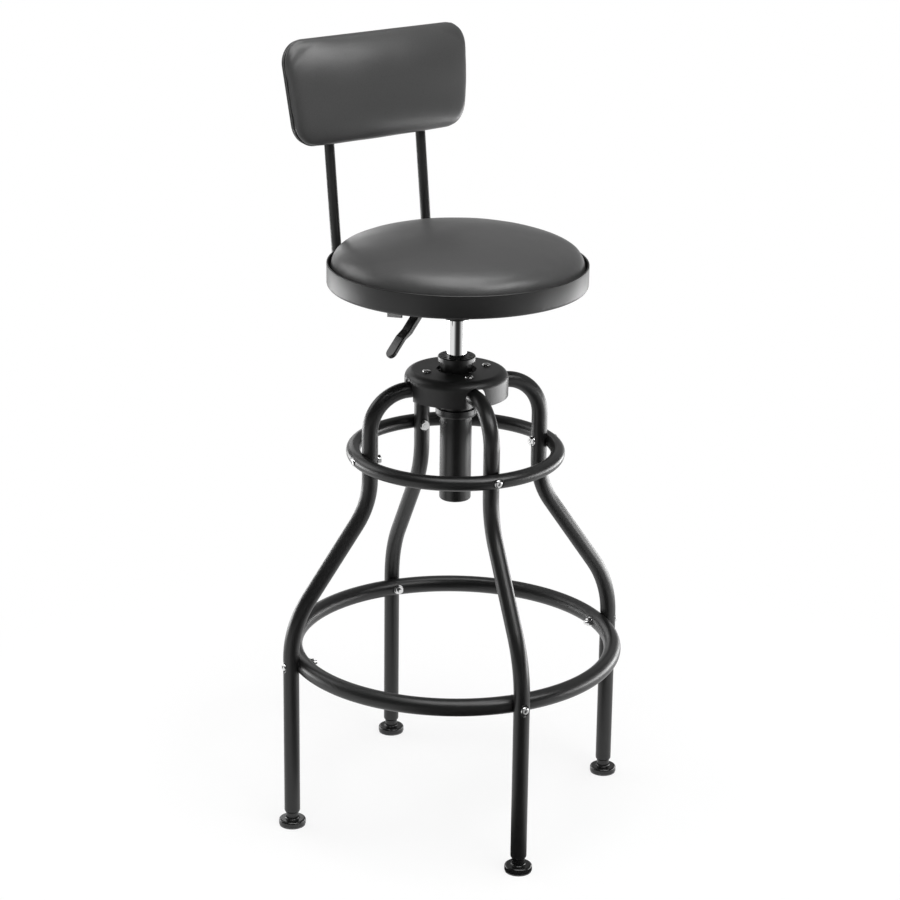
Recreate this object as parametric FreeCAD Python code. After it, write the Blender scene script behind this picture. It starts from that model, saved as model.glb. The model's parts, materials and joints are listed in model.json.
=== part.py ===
# Machinist stool with a gas lift, a round seat and a padded backrest.
# Millimetres. +Z is up, the origin is on the floor under the gas lift, and the sitter faces -Y.
# Every piece is a solid of its own, written to parts/ under its name.

import FreeCAD
import Part
import math
import os
from FreeCAD import Vector

os.makedirs("parts", exist_ok=True)

# General fits
running_fit = 0.05            # radial clearance of a shaft that moves in a hole
seat_gap = 0.3                # air between a piece and what it rests on when it moves or is soft
bolt_clearance = 0.2          # radial clearance of a bolt in its hole
button_round = 0.6            # rounded share of the height of a button head
pan_round = 0.7               # rounded share of the height of a pan head or a cap
hole_overshoot = 5.0          # how far a drill or cutter runs past a tube's wall

# Levelling feet
pad_diameter = 38.0
pad_height = 10.0
pad_edge_round = 3.0
pad_neck = 18.0
pad_neck_top = 20.0
pad_neck_round = 2.0
sole_inset = 0.8
sole_thickness = 2.5
stem_diameter = 8.0
stem_bottom = 4.0
stem_head = 15.0              # across the corners
stem_head_height = 4.0
stem_past_plug = 2.0
plug_cap_height = 3.7
plug_length = 24.0            # inside the leg
plug_mouth_inset = 1.8        # how far the rounded cap draws in at its lower end
plug_belly_inset = 0.45       # the same, at plug_belly_height
plug_belly_height = 1.48      # from the lower end

# Legs
leg_count = 4
leg_pitch = 360 / leg_count
base_turn = -15.7             # the first leg, measured from +X, in degrees
leg_tube = 22.2
leg_wall = 1.5
leg_arm_height = 625.0        # axis of the arm that enters the hub
leg_waist_radius = 126.4      # axis of the upright part, from the gas lift
leg_foot_radius = 242.4       # axis of the lower part, from the gas lift
leg_waist_height = 467.3      # corner where the leg begins to spread
leg_splay = 34.6              # spread from the upright, in degrees
leg_shoulder_bend = 55.3
leg_upper_splay_bend = 113.8
leg_lower_splay_bend = 147.0

# Rings, each centred on the tube
upper_ring_tube = 20.0
upper_ring_wall = 1.5
upper_ring_height = 530.0
upper_ring_press = 3.0        # how deep the ring and each leg are flattened where they meet
foot_ring_tube = 24.0
foot_ring_wall = 1.5
foot_ring_height = 242.4
foot_ring_press = 3.05
press_ramp = 4.0              # length of the sloped ends of a flattened stretch of tube
press_margin = 0.5
cup_margin = 0.4              # pressed seat around the flange of a nut
cup_depth = 1.8

# Ring bolts and nuts
ring_bolt = 6.35
ring_bolt_head = 11.2
ring_bolt_head_height = 3.4
ring_bolt_socket = 4.0        # across the flats
ring_bolt_socket_depth = 2.0
upper_bolt_tip = 0.5          # thread that shows past the nut
foot_bolt_tip = 4.5
ring_nut_flats = 11.1
ring_nut_height = 5.5
ring_nut_flange = 14.0
ring_nut_flange_height = 1.2
ring_nut_corner = 0.7         # left of each corner beyond the flats

# Gas lift. Its outer tube is the column of the base.
column_tube = 44.0
column_wall = 2.0
column_length = 200.0
column_above_arm = 35.0
column_edge_round = 3.0
column_base_thickness = 4.0
column_base_recess = 4.0
column_base_recess_radius = 15.0
lift_tube = 28.0
lift_wall = 1.8
lift_down = 45.0              # travel below the height in which it is drawn
lift_up = 75.0
lift_taper_length = 34.0
lift_taper = 0.7              # radius lost along the tapered top
lift_below_plate = 16.0       # top of the tube, below the seat's plate
lift_seal_length = 22.0
bushing_flange_overhang = 4.0
bushing_flange_height = 7.0
bushing_length = 60.0
bushing_edge_round = 1.5
bushing_slots = 16
bushing_slot_width = 2.2
bushing_slot_depth = 3.0
bushing_slot_inset = 3.0
rod_diameter = 10.0
rod_collar = 16.0
rod_collar_height = 3.0
rod_tip = 2.5                 # rod below the retaining clip
rod_groove_depth = 0.7
washer_width = 8.0
washer_thickness = 1.5
ball_diameter = 4.0
ball_count = 8
ball_play = 0.01
cage_width = 5.0
cage_height = 2.0
clip_width = 4.0
clip_thickness = 1.6
bumper_width = 6.0
bumper_length = 10.0
bumper_gap = 1.0
piston_length = 14.0
piston_gap = 1.0
valve_length = 28.0
pin_diameter = 8.0
pin_length = 21.0
pin_height = 6.0              # how far the release pin stands out of the tube
pin_edge_round = 2.5

# Socket that holds the column, welded to the legs
socket_wall = 2.95
socket_above_arm = 16.0
socket_below_arm = 43.0
socket_collar_width = 3.5
socket_collar_height = 11.0
socket_collar_round = 4.0
leg_reach_into_socket = 5.0   # cut away again by the socket

# Hub
hub_radius = 71.5
hub_below_arm = 13.0
hub_above_arm = 22.5
hub_wall = 3.5
hub_edge_round = 12.0
hub_hole_gap = 2.5            # around the socket
hub_notch_gap = 3.9           # around a leg
hub_screw_circle = 44.4       # radius
hub_screw = 6.0
hub_screw_head = 12.0
hub_screw_head_height = 3.6
hub_screw_length = 28.0
hub_screw_recess = 1.0
hub_recess_gap = 0.5
hub_boss = 14.0
cross_slot_length = 6.4
cross_slot_width = 1.3
cross_slot_depth = 2.0
insert_body = 8.8
insert_flange = 13.0
insert_flange_height = 1.0
insert_length = 14.0
insert_press = 1.5

# Seat
rim_above_arm = 142.0
rim_radius = 177.8
rim_wall = 2.5
rim_height = 32.0
rim_flange = 2.0
rim_flange_width = 17.8
rim_bottom_round = 5.0
rim_top_round = 1.0
board_thickness = 12.0
board_chamfer = 3.0
cushion_rim_gap = 3.3         # at the widest part of the cushion
cushion_foot_inset = 3.5
cushion_side_height = 9.0     # heights from the top of the seat board
cushion_side_bulge = 1.0
cushion_roll_inset = 4.2
cushion_roll_height = 26.4
cushion_shoulder_inset = 20.7
cushion_shoulder_height = 40.4
cushion_height = 64.9

# Seat bolts
seat_bolt = 6.0
seat_bolt_head = 10.5
seat_bolt_head_height = 3.3
plate_bolt_x = 58.0
plate_bolt_front = -58.0
plate_bolt_back = 82.0
tee_nut_flange = 17.0
tee_nut_flange_height = 1.2
tee_nut_body = 7.8
tee_nut_length = 9.0

# Back posts
post_tube = 14.0
post_wall = 1.5
post_half_spacing = 78.4
post_run_drop = 14.0          # axis of the lower run, below the seat's plate
post_run_front = 8.0
post_bend = 20.0
post_lean = 6.63              # degrees
post_rim_gap = 6.6            # between the posts and the rim, at back_level
back_level_above_rim = 1.0
post_past_centre = 43.0       # top of the posts above the middle of the backrest
post_saddle_places = (30.0, 80.0)
saddle_diameter = 20.0
saddle_grip = 3.0             # how far the saddle reaches down the sides of the tube
post_cap_length = 9.0
post_cap_head = 2.0

# Backrest
back_centre = 212.0           # along the posts from back_level
back_height = 145.0
back_top_width = 311.0
back_bottom_width = 284.0
back_top_corner = 31.0
back_bottom_corner = 33.5
back_board_thickness = 6.0
back_board_inset = 1.0
back_cushion_thickness = 31.0
back_cushion_crown = 10.0     # how much thinner it is in the middle of each side
back_cushion_front_roll = 12.0
back_cushion_back_roll = 2.0
back_screw = 5.0
back_screw_head = 9.5
back_screw_head_height = 3.0
back_screw_socket = 3.0
back_screw_socket_depth = 1.6
back_screw_places = (-46.0, 16.0)   # from the middle of the backrest
back_screw_bite = 5.0

# Seat mechanism
plate_side_margin = 13.6      # beyond the posts
plate_front = -75.0
plate_back_margin = 18.0      # beyond the last saddle
plate_thickness = 3.0
plate_corner = 12.0
plate_hole = 30.0
ear_front = 5.0
ear_back = 36.0
ear_front_drop = 32.5
ear_back_drop = 38.0
ear_thickness = 2.5
ear_hole = 5.0
taper_socket_wall = 4.0
taper_socket_length = 47.0
taper_socket_round = 2.0
lever_window_gap = 2.0
lever_window_rise = 2.5       # lower edge of the window above the gas lift's tube
lever_throw = 22.0            # pivot to release pin
lever_pin = 5.0
lever_barrel = 9.0
lever_bar_width = 12.0
lever_bar_thickness = 4.0
lever_bar_end = 5.0           # bar past the release pin
lever_bend = 49.0             # where the bar turns down, from the gas lift
lever_droop = 50.0            # degrees below level
lever_bar_reach = 24.0        # bar past the bend, inside the handle
lever_ear_thickness = 2.5
lever_ear_gap = 0.6
lever_ear_half_width = 6.0
lever_ear_drop = 14.0
handle_start = 8.0            # from the bend, as the next two
handle_neck_end = 57.0
handle_end = 100.5
handle_width = 16.0
handle_thickness = 7.7
paddle_width = 17.2
paddle_thickness = 5.8
paddle_ramp = 12.0            # from the neck to the paddle
paddle_rise = 3.3             # middle of the paddle above the middle of the neck
handle_round = 1.6

# Levels and radii that follow from the sizes above

leg_radius = leg_tube / 2
plug_bottom = pad_neck_top + seat_gap
leg_end_height = plug_bottom + plug_cap_height
plug_top = leg_end_height + plug_length
stem_top = plug_top + stem_past_plug

upper_tube_radius = upper_ring_tube / 2
foot_tube_radius = foot_ring_tube / 2
upper_contact = leg_waist_radius + leg_radius - upper_ring_press
upper_ring_radius = upper_contact - upper_ring_press + upper_tube_radius
foot_contact = leg_foot_radius - leg_radius + foot_ring_press
foot_ring_radius = foot_contact + foot_ring_press - foot_tube_radius
upper_head_seat = upper_ring_radius + upper_tube_radius - cup_depth
upper_nut_seat = leg_waist_radius - leg_radius + cup_depth
foot_head_seat = leg_foot_radius + leg_radius - cup_depth
foot_nut_seat = foot_ring_radius - foot_tube_radius + cup_depth
ring_hole = ring_bolt / 2 + bolt_clearance
cup_radius = ring_nut_flange / 2 + cup_margin

column_radius = column_tube / 2
column_bore = column_radius - column_wall
column_top = leg_arm_height + column_above_arm
column_bottom = column_top - column_length
socket_bore = column_radius + running_fit
socket_radius = socket_bore + socket_wall
socket_top = leg_arm_height + socket_above_arm
socket_bottom = leg_arm_height - socket_below_arm
leg_arm_start = socket_radius - leg_reach_into_socket
hub_bottom = leg_arm_height - hub_below_arm
hub_top = leg_arm_height + hub_above_arm
hub_underside = hub_top - hub_wall
insert_seat = leg_arm_height + leg_radius - insert_press

rim_bottom = leg_arm_height + rim_above_arm
rim_top = rim_bottom + rim_height
board_bottom = rim_bottom + rim_flange
board_top = board_bottom + board_thickness
board_radius = rim_radius - rim_wall - seat_gap
cushion_bottom = board_top + seat_gap
cushion_radius = rim_radius - rim_wall - cushion_rim_gap
plate_bottom = board_bottom - plate_thickness
plate_half_width = post_half_spacing + plate_side_margin
plate_back = max(post_saddle_places) + plate_back_margin

lift_radius = lift_tube / 2
lift_bore = lift_radius - lift_wall
lift_top = plate_bottom - lift_below_plate
rod_radius = rod_diameter / 2
rod_hole = rod_radius + running_fit
washer_radius = rod_radius + washer_width
ball_circle = (rod_radius + washer_radius + ball_diameter / 4) / 2
base_underside = column_bottom + column_base_recess
base_top = base_underside + column_base_thickness
lower_washer_top = base_top + washer_thickness
ball_centre = lower_washer_top + ball_diameter / 2
upper_washer_bottom = lower_washer_top + ball_diameter
rod_collar_bottom = upper_washer_bottom + washer_thickness
bumper_bottom = rod_collar_bottom + rod_collar_height
bumper_top = bumper_bottom + bumper_length
lift_bottom = bumper_top + bumper_gap + lift_down
piston_bottom = lift_bottom + lift_up + lift_seal_length + piston_gap
piston_top = piston_bottom + piston_length
clip_top = base_underside - seat_gap
clip_bottom = clip_top - clip_thickness
rod_bottom = clip_bottom - rod_tip

taper_socket_radius = lift_radius + taper_socket_wall
taper_socket_bottom = plate_bottom - taper_socket_length
lever_bar_bottom = lift_top + pin_height + seat_gap
pivot_height = lever_bar_bottom + lever_bar_thickness / 2

post_radius = post_tube / 2
lean = math.radians(post_lean)
back_level = rim_top + back_level_above_rim
post_run_height = plate_bottom - post_run_drop
rim_depth_at_post = math.sqrt(rim_radius ** 2 - post_half_spacing ** 2)
post_offset_at_back_level = rim_depth_at_post + post_rim_gap + post_radius
post_top = back_centre + post_past_centre
post_screw_seat = post_radius - cup_depth
post_bolt_seat = post_run_height - post_radius + cup_depth
board_back = -post_radius
board_front = board_back - back_board_thickness
back_cushion_back = board_front - seat_gap


# Small makers

def cylinder(radius, low, high):
    return Part.makeCylinder(radius, high - low, Vector(0, 0, low))


def ring_solid(outer_radius, inner_radius, low, high):
    return cylinder(outer_radius, low, high).cut(cylinder(inner_radius, low - 1, high + 1))


def block(low_x, high_x, low_y, high_y, low_z, high_z):
    return Part.makeBox(high_x - low_x, high_y - low_y, high_z - low_z, Vector(low_x, low_y, low_z))


def crossbar(radius, x, z, half_length):
    return Part.makeCylinder(radius, 2 * half_length, Vector(x, -half_length, z), Vector(0, 1, 0))


def turned(edges):
    face = Part.Face(Part.Wire(edges))
    return face.revolve(Vector(0, 0, 0), Vector(0, 0, 1), 360)


def spun(shape, degrees):
    copy = shape.copy()
    copy.rotate(Vector(0, 0, 0), Vector(0, 0, 1), degrees)
    return copy


def moved(shape, offset):
    copy = shape.copy()
    copy.translate(offset)
    return copy


def mirrored(shape):
    return shape.mirror(Vector(0, 0, 0), Vector(1, 0, 0))


def rounded(solid, radius, wanted):
    edges = [edge for edge in solid.Edges if wanted(edge)]
    return solid.makeFillet(radius, edges)


def level_circle(edge, height):
    box = edge.BoundBox
    return abs(box.ZMin - height) < 0.01 and abs(box.ZMax - height) < 0.01


def rounded_at(solid, radius, height, circle_radius):
    def wanted(edge):
        return level_circle(edge, height) and abs(edge.BoundBox.XMax - circle_radius) < 0.01
    return rounded(solid, radius, wanted)


def prism(points, direction):
    face = Part.Face(Part.makePolygon(points + [points[0]]))
    return face.extrude(direction)


def bent_path(points, bend_radii):
    edges = []
    start = points[0]
    for corner, after, radius in zip(points[1:-1], points[2:], bend_radii):
        incoming = (corner - start).normalize()
        outgoing = (after - corner).normalize()
        half_turn = incoming.getAngle(outgoing) / 2
        setback = radius * math.tan(half_turn)
        inward = (outgoing - incoming).normalize()
        arc_start = corner - incoming * setback
        arc_end = corner + outgoing * setback
        middle = corner + inward * (radius / math.cos(half_turn) - radius)
        edges.append(Part.makeLine(start, arc_start))
        edges.append(Part.Arc(arc_start, middle, arc_end).toShape())
        start = arc_end
    edges.append(Part.makeLine(start, points[-1]))
    return Part.Wire(edges)


def swept(path, radius):
    first = path.Edges[0]
    start = first.valueAt(first.FirstParameter)
    direction = first.tangentAt(first.FirstParameter)
    circle = Part.Wire(Part.makeCircle(radius, start, direction))
    return path.makePipeShell([circle], True, True)


# Pressed places on tubes. Each returns a cutter for the outside when sink is 0,
# and for the bore when sink is the wall, so the wall stays closed behind the press.

def flat_across_upright(plane, outward, height, half_length):
    def cutter(sink):
        face = plane - outward * sink
        far = face + outward * press_ramp
        half = half_length + sink
        points = [
            Vector(face, -leg_tube, height - half),
            Vector(face, -leg_tube, height + half),
            Vector(far, -leg_tube, height + half + press_ramp),
            Vector(far, -leg_tube, height - half - press_ramp),
        ]
        return prism(points, Vector(0, 2 * leg_tube, 0))
    return cutter


def flat_across_ring(plane, outward, height, half_length):
    def cutter(sink):
        face = plane - outward * sink
        far = face + outward * press_ramp
        half = half_length + sink
        points = [
            Vector(face, -half, height - leg_tube),
            Vector(face, half, height - leg_tube),
            Vector(far, half + press_ramp, height - leg_tube),
            Vector(far, -half - press_ramp, height - leg_tube),
        ]
        return prism(points, Vector(0, 0, 2 * leg_tube))
    return cutter


def pressed_cup(floor_point, direction):
    def cutter(sink):
        start = floor_point - direction * sink
        radius = cup_radius + sink
        return Part.makeCone(radius, radius + press_ramp, press_ramp, start, direction)
    return cutter


def pressed_tube(outside, bore, presses, wall):
    for press in presses:
        outside = outside.cut(press(0))
        bore = bore.cut(press(wall))
    return outside.cut(bore)


def around_base(shape):
    return [spun(shape, base_turn + leg_pitch * index) for index in range(leg_count)]


def outward_hole(radius, near, far, height):
    return Part.makeCylinder(radius, far - near, Vector(near, 0, height), Vector(1, 0, 0))


# Legs and rings. The first leg is drawn in the XZ plane and turned later.

def half_chord(radius, distance):
    return math.sqrt(radius ** 2 - distance ** 2)


upper_leg_chord = half_chord(leg_radius, upper_contact - leg_waist_radius) + press_margin
upper_ring_chord = half_chord(upper_tube_radius, upper_ring_radius - upper_contact) + press_margin
foot_leg_chord = half_chord(leg_radius, leg_foot_radius - foot_contact) + press_margin
foot_ring_chord = half_chord(foot_tube_radius, foot_contact - foot_ring_radius) + press_margin


def make_leg():
    drop = (leg_foot_radius - leg_waist_radius) / math.tan(math.radians(leg_splay))
    path = bent_path(
        [
            Vector(leg_arm_start, 0, leg_arm_height),
            Vector(leg_waist_radius, 0, leg_arm_height),
            Vector(leg_waist_radius, 0, leg_waist_height),
            Vector(leg_foot_radius, 0, leg_waist_height - drop),
            Vector(leg_foot_radius, 0, leg_end_height),
        ],
        [leg_shoulder_bend, leg_upper_splay_bend, leg_lower_splay_bend],
    )
    presses = [
        flat_across_upright(upper_contact, 1, upper_ring_height, upper_ring_chord),
        flat_across_upright(foot_contact, -1, foot_ring_height, foot_ring_chord),
        pressed_cup(Vector(upper_nut_seat, 0, upper_ring_height), Vector(-1, 0, 0)),
        pressed_cup(Vector(foot_head_seat, 0, foot_ring_height), Vector(1, 0, 0)),
        pressed_cup(Vector(hub_screw_circle, 0, insert_seat), Vector(0, 0, 1)),
    ]
    leg = pressed_tube(swept(path, leg_radius), swept(path, leg_radius - leg_wall), presses, leg_wall)
    insert_hole = Part.makeCylinder(insert_body / 2, 2 * leg_wall + 1,
                                    Vector(hub_screw_circle, 0, insert_seat - 2 * leg_wall))
    cutters = [
        outward_hole(ring_hole, upper_nut_seat - hole_overshoot, upper_contact + hole_overshoot,
                     upper_ring_height),
        outward_hole(ring_hole, foot_contact - hole_overshoot, foot_head_seat + hole_overshoot,
                     foot_ring_height),
        insert_hole,
        cylinder(socket_radius, leg_arm_height - leg_tube, leg_arm_height + leg_tube),
    ]
    for cutter in cutters:
        leg = leg.cut(cutter)
    return leg


def make_upper_ring():
    centre = Vector(0, 0, upper_ring_height)
    outside = Part.makeTorus(upper_ring_radius, upper_tube_radius, centre)
    bore = Part.makeTorus(upper_ring_radius, upper_tube_radius - upper_ring_wall, centre)
    flat = flat_across_ring(upper_contact, -1, upper_ring_height, upper_leg_chord)
    cup = pressed_cup(Vector(upper_head_seat, 0, upper_ring_height), Vector(1, 0, 0))
    hole = outward_hole(ring_hole, upper_contact - hole_overshoot, upper_head_seat + hole_overshoot,
                        upper_ring_height)
    return pressed_ring(outside, bore, flat, cup, hole, upper_ring_wall)


def make_foot_ring():
    centre = Vector(0, 0, foot_ring_height)
    outside = Part.makeTorus(foot_ring_radius, foot_tube_radius, centre)
    bore = Part.makeTorus(foot_ring_radius, foot_tube_radius - foot_ring_wall, centre)
    flat = flat_across_ring(foot_contact, 1, foot_ring_height, foot_leg_chord)
    cup = pressed_cup(Vector(foot_nut_seat, 0, foot_ring_height), Vector(-1, 0, 0))
    hole = outward_hole(ring_hole, foot_nut_seat - hole_overshoot, foot_contact + hole_overshoot,
                        foot_ring_height)
    return pressed_ring(outside, bore, flat, cup, hole, foot_ring_wall)


def pressed_ring(outside, bore, flat, cup, hole, wall):
    for cutter in (flat, cup):
        outside = outside.cut(Part.makeCompound(around_base(cutter(0))))
        bore = bore.cut(Part.makeCompound(around_base(cutter(wall))))
    return outside.cut(bore).cut(Part.makeCompound(around_base(hole)))


def hexagon(across_flats, low, high):
    corner = across_flats / math.sqrt(3)
    points = []
    for step in range(6):
        angle = math.radians(60 * step)
        points.append(Vector(corner * math.cos(angle), corner * math.sin(angle), low))
    return prism(points, Vector(0, 0, high - low))


def button_bolt(shank, length, head, head_height, socket, socket_depth):
    # Head above z 0, shank below it.
    dome = rounded_at(cylinder(head / 2, 0, head_height), head_height * button_round, head_height, head / 2)
    bolt = dome.fuse(cylinder(shank / 2, -length, 0)).removeSplitter()
    return bolt.cut(hexagon(socket, head_height - socket_depth, head_height + 1))


def flange_nut(thread, flats, height, flange, flange_height):
    # Seat at z 0, nut above it.
    body = hexagon(flats, 0, height).common(cylinder(flats / 2 + ring_nut_corner, 0, height))
    nut = body.fuse(cylinder(flange / 2, 0, flange_height)).removeSplitter()
    return nut.cut(cylinder(thread / 2 + running_fit, -1, height + 1))


def laid_radially(shape, radius, height, outward):
    # Turns a piece drawn along +Z so that +Z points out of the stool, or into it.
    copy = shape.copy()
    copy.rotate(Vector(0, 0, 0), Vector(0, 1, 0), 90 * outward)
    copy.translate(Vector(radius, 0, height))
    return copy


def make_ring_bolts(head_seat, nut_seat, height, tip):
    length = head_seat - nut_seat + ring_nut_height + tip
    bolt = button_bolt(ring_bolt, length, ring_bolt_head, ring_bolt_head_height,
                       ring_bolt_socket, ring_bolt_socket_depth)
    return Part.makeCompound(around_base(laid_radially(bolt, head_seat, height, 1)))


def make_ring_nuts(nut_seat, height):
    nut = flange_nut(ring_bolt, ring_nut_flats, ring_nut_height, ring_nut_flange, ring_nut_flange_height)
    return Part.makeCompound(around_base(laid_radially(nut, nut_seat, height, -1)))


def make_leg_plugs():
    bore_radius = leg_radius - leg_wall - running_fit
    shoulder = Vector(leg_radius, 0, leg_end_height)
    mouth = Vector(leg_radius - plug_mouth_inset, 0, plug_bottom)
    belly = Vector(leg_radius - plug_belly_inset, 0, plug_bottom + plug_belly_height)
    hole = stem_diameter / 2 + running_fit
    edges = [
        Part.Arc(mouth, belly, shoulder).toShape(),
        Part.makeLine(shoulder, Vector(bore_radius, 0, leg_end_height)),
        Part.makeLine(Vector(bore_radius, 0, leg_end_height), Vector(bore_radius, 0, plug_top)),
        Part.makeLine(Vector(bore_radius, 0, plug_top), Vector(hole, 0, plug_top)),
        Part.makeLine(Vector(hole, 0, plug_top), Vector(hole, 0, plug_bottom)),
        Part.makeLine(Vector(hole, 0, plug_bottom), mouth),
    ]
    plug = moved(turned(edges), Vector(leg_foot_radius, 0, 0))
    return Part.makeCompound(around_base(plug))


def make_foot_pad():
    body = cylinder(pad_diameter / 2, sole_thickness, pad_height)
    body = rounded_at(body, pad_edge_round, pad_height, pad_diameter / 2)
    pad = body.fuse(cylinder(pad_neck / 2, pad_height - 1, pad_neck_top)).removeSplitter()

    def foot_of_neck(edge):
        return level_circle(edge, pad_height) and abs(edge.BoundBox.XMax - pad_neck / 2) < 0.01
    pad = rounded(pad, pad_neck_round, foot_of_neck)
    pad = pad.cut(cylinder(stem_head / 2 + running_fit, sole_thickness - 1, stem_bottom + stem_head_height))
    return pad.cut(cylinder(stem_diameter / 2 + running_fit, sole_thickness, pad_neck_top + 1))


def make_foot_sole():
    return cylinder(pad_diameter / 2 - sole_inset, 0, sole_thickness)


def make_foot_stem():
    head_top = stem_bottom + stem_head_height - running_fit
    head = hexagon(stem_head * math.sqrt(3) / 2, stem_bottom, head_top)
    return head.fuse(cylinder(stem_diameter / 2, stem_bottom, stem_top)).removeSplitter()


def make_hub_housing():
    outside = cylinder(hub_radius, hub_bottom, hub_top)
    outside = rounded_at(outside, hub_edge_round, hub_top, hub_radius)
    cavity_radius = hub_radius - hub_wall
    cavity = cylinder(cavity_radius, hub_bottom - 1, hub_underside)
    cavity = rounded_at(cavity, hub_edge_round - hub_wall, hub_underside, cavity_radius)
    housing = outside.cut(cavity).cut(cylinder(socket_radius + hub_hole_gap, hub_bottom, hub_top + 1))
    notch_radius = leg_radius + hub_notch_gap
    notch_start = hub_radius - hub_edge_round - hub_wall
    notch_end = hub_radius + hole_overshoot
    notch = block(notch_start, notch_end, -notch_radius, notch_radius, hub_bottom - 1, leg_arm_height)
    arch = outward_hole(notch_radius, notch_start, notch_end, leg_arm_height)
    boss_foot = insert_seat + insert_flange_height
    boss = moved(cylinder(hub_boss / 2, boss_foot, hub_underside + 1), Vector(hub_screw_circle, 0, 0))
    hole = moved(cylinder(hub_screw / 2 + bolt_clearance, hub_bottom, hub_top + 1),
                 Vector(hub_screw_circle, 0, 0))
    recess = moved(cylinder(hub_screw_head / 2 + hub_recess_gap, hub_top - hub_screw_recess, hub_top + 1),
                   Vector(hub_screw_circle, 0, 0))
    housing = housing.fuse(around_base(boss))
    for cutter in (notch, arch, hole, recess):
        housing = housing.cut(Part.makeCompound(around_base(cutter)))
    return housing.removeSplitter()


def make_hub_screws():
    seat = hub_top - hub_screw_recess
    head = cylinder(hub_screw_head / 2, seat, seat + hub_screw_head_height)
    head = rounded_at(head, hub_screw_head_height * pan_round, seat + hub_screw_head_height,
                      hub_screw_head / 2)
    screw = head.fuse(cylinder(hub_screw / 2, seat - hub_screw_length, seat)).removeSplitter()
    top = seat + hub_screw_head_height
    long_half = cross_slot_length / 2
    short_half = cross_slot_width / 2
    low = top - cross_slot_depth
    slot = block(-long_half, long_half, -short_half, short_half, low, top + 1)
    other = block(-short_half, short_half, -long_half, long_half, low, top + 1)
    screw = screw.cut(slot).cut(other)
    screw = moved(screw, Vector(hub_screw_circle, 0, 0))
    return Part.makeCompound(around_base(screw))


def make_leg_inserts():
    top = insert_seat + insert_flange_height
    body = cylinder(insert_body / 2, top - insert_length, top)
    insert = body.fuse(cylinder(insert_flange / 2, insert_seat, top)).removeSplitter()
    insert = insert.cut(cylinder(hub_screw / 2 + running_fit, top - insert_length - 1, top + 1))
    insert = moved(insert, Vector(hub_screw_circle, 0, 0))
    return Part.makeCompound(around_base(insert))


def make_column_socket():
    body = cylinder(socket_radius, socket_bottom, socket_top)
    collar_radius = socket_radius + socket_collar_width
    collar = cylinder(collar_radius, socket_bottom, socket_bottom + socket_collar_height)
    collar = rounded_at(collar, socket_collar_round, socket_bottom, collar_radius)
    socket = body.fuse(collar).removeSplitter()
    return socket.cut(cylinder(socket_bore, socket_bottom - 1, socket_top + 1))


def make_column_tube():
    column = cylinder(column_radius, column_bottom, column_top)
    column = rounded_at(column, column_edge_round, column_bottom, column_radius)
    column = column.cut(cylinder(column_bore, base_top, column_top + 1))
    column = column.cut(cylinder(column_base_recess_radius, column_bottom - 1, base_underside))
    return column.cut(cylinder(rod_hole, column_bottom, base_top + 1))


def make_guide_bushing():
    top = column_top + bushing_flange_height
    flange_radius = column_radius + bushing_flange_overhang
    sleeve = cylinder(column_bore - running_fit, column_top - bushing_length, column_top + 1)
    flange = cylinder(flange_radius, column_top, top)
    flange = rounded_at(flange, bushing_edge_round, top, flange_radius)
    bushing = sleeve.fuse(flange).removeSplitter()
    bushing = bushing.cut(cylinder(lift_radius + running_fit, column_top - bushing_length - 1, top + 1))
    half = bushing_slot_width / 2
    slot = block(lift_radius + bushing_slot_inset, flange_radius - bushing_slot_inset, -half, half,
                 top - bushing_slot_depth, top + 1)
    slots = [spun(slot, 360 / bushing_slots * index) for index in range(bushing_slots)]
    return bushing.cut(Part.makeCompound(slots))


def make_thrust_washer(low):
    return ring_solid(washer_radius, rod_hole, low, low + washer_thickness)


def make_bearing_balls():
    balls = []
    for index in range(ball_count):
        angle = math.radians(360 / ball_count * index)
        place = Vector(ball_circle * math.cos(angle), ball_circle * math.sin(angle), ball_centre)
        balls.append(Part.makeSphere(ball_diameter / 2 - ball_play, place))
    return Part.makeCompound(balls)


def make_ball_cage():
    half = cage_width / 2
    cage = ring_solid(ball_circle + half, ball_circle - half, ball_centre - cage_height / 2,
                      ball_centre + cage_height / 2)
    pockets = []
    for index in range(ball_count):
        angle = math.radians(360 / ball_count * index)
        place = Vector(ball_circle * math.cos(angle), ball_circle * math.sin(angle),
                       ball_centre - ball_diameter)
        pockets.append(Part.makeCylinder(ball_diameter / 2 + running_fit, 2 * ball_diameter, place))
    return cage.cut(Part.makeCompound(pockets))


def make_piston_rod():
    rod = cylinder(rod_radius, rod_bottom, piston_top)
    collar = cylinder(rod_collar / 2, rod_collar_bottom, bumper_bottom)
    rod = rod.fuse(collar).removeSplitter()
    return rod.cut(ring_solid(rod_diameter, rod_radius - rod_groove_depth, clip_bottom, clip_top))


def make_retaining_clip():
    outside = rod_radius + clip_width
    groove = rod_radius - rod_groove_depth
    clip = ring_solid(outside, groove + running_fit, clip_bottom, clip_top)
    return clip.cut(block(0, 2 * outside, -groove / 2, groove / 2, clip_bottom - 1, clip_top + 1))


def make_rubber_bumper():
    outside = rod_radius + bumper_width
    bumper = ring_solid(outside, rod_hole, bumper_bottom, bumper_top)
    return rounded_at(bumper, bumper_width / 4, bumper_top, outside)


def make_piston():
    return ring_solid(lift_bore - running_fit, rod_hole, piston_bottom, piston_top)


def make_lift_tube():
    corners = [
        Vector(lift_bore, 0, lift_bottom),
        Vector(lift_radius, 0, lift_bottom),
        Vector(lift_radius, 0, lift_top - lift_taper_length),
        Vector(lift_radius - lift_taper, 0, lift_top),
        Vector(lift_bore, 0, lift_top),
    ]
    return turned(Part.makePolygon(corners + [corners[0]]).Edges)


def make_lift_seal():
    return ring_solid(lift_bore - running_fit, rod_hole, lift_bottom, lift_bottom + lift_seal_length)


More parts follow.
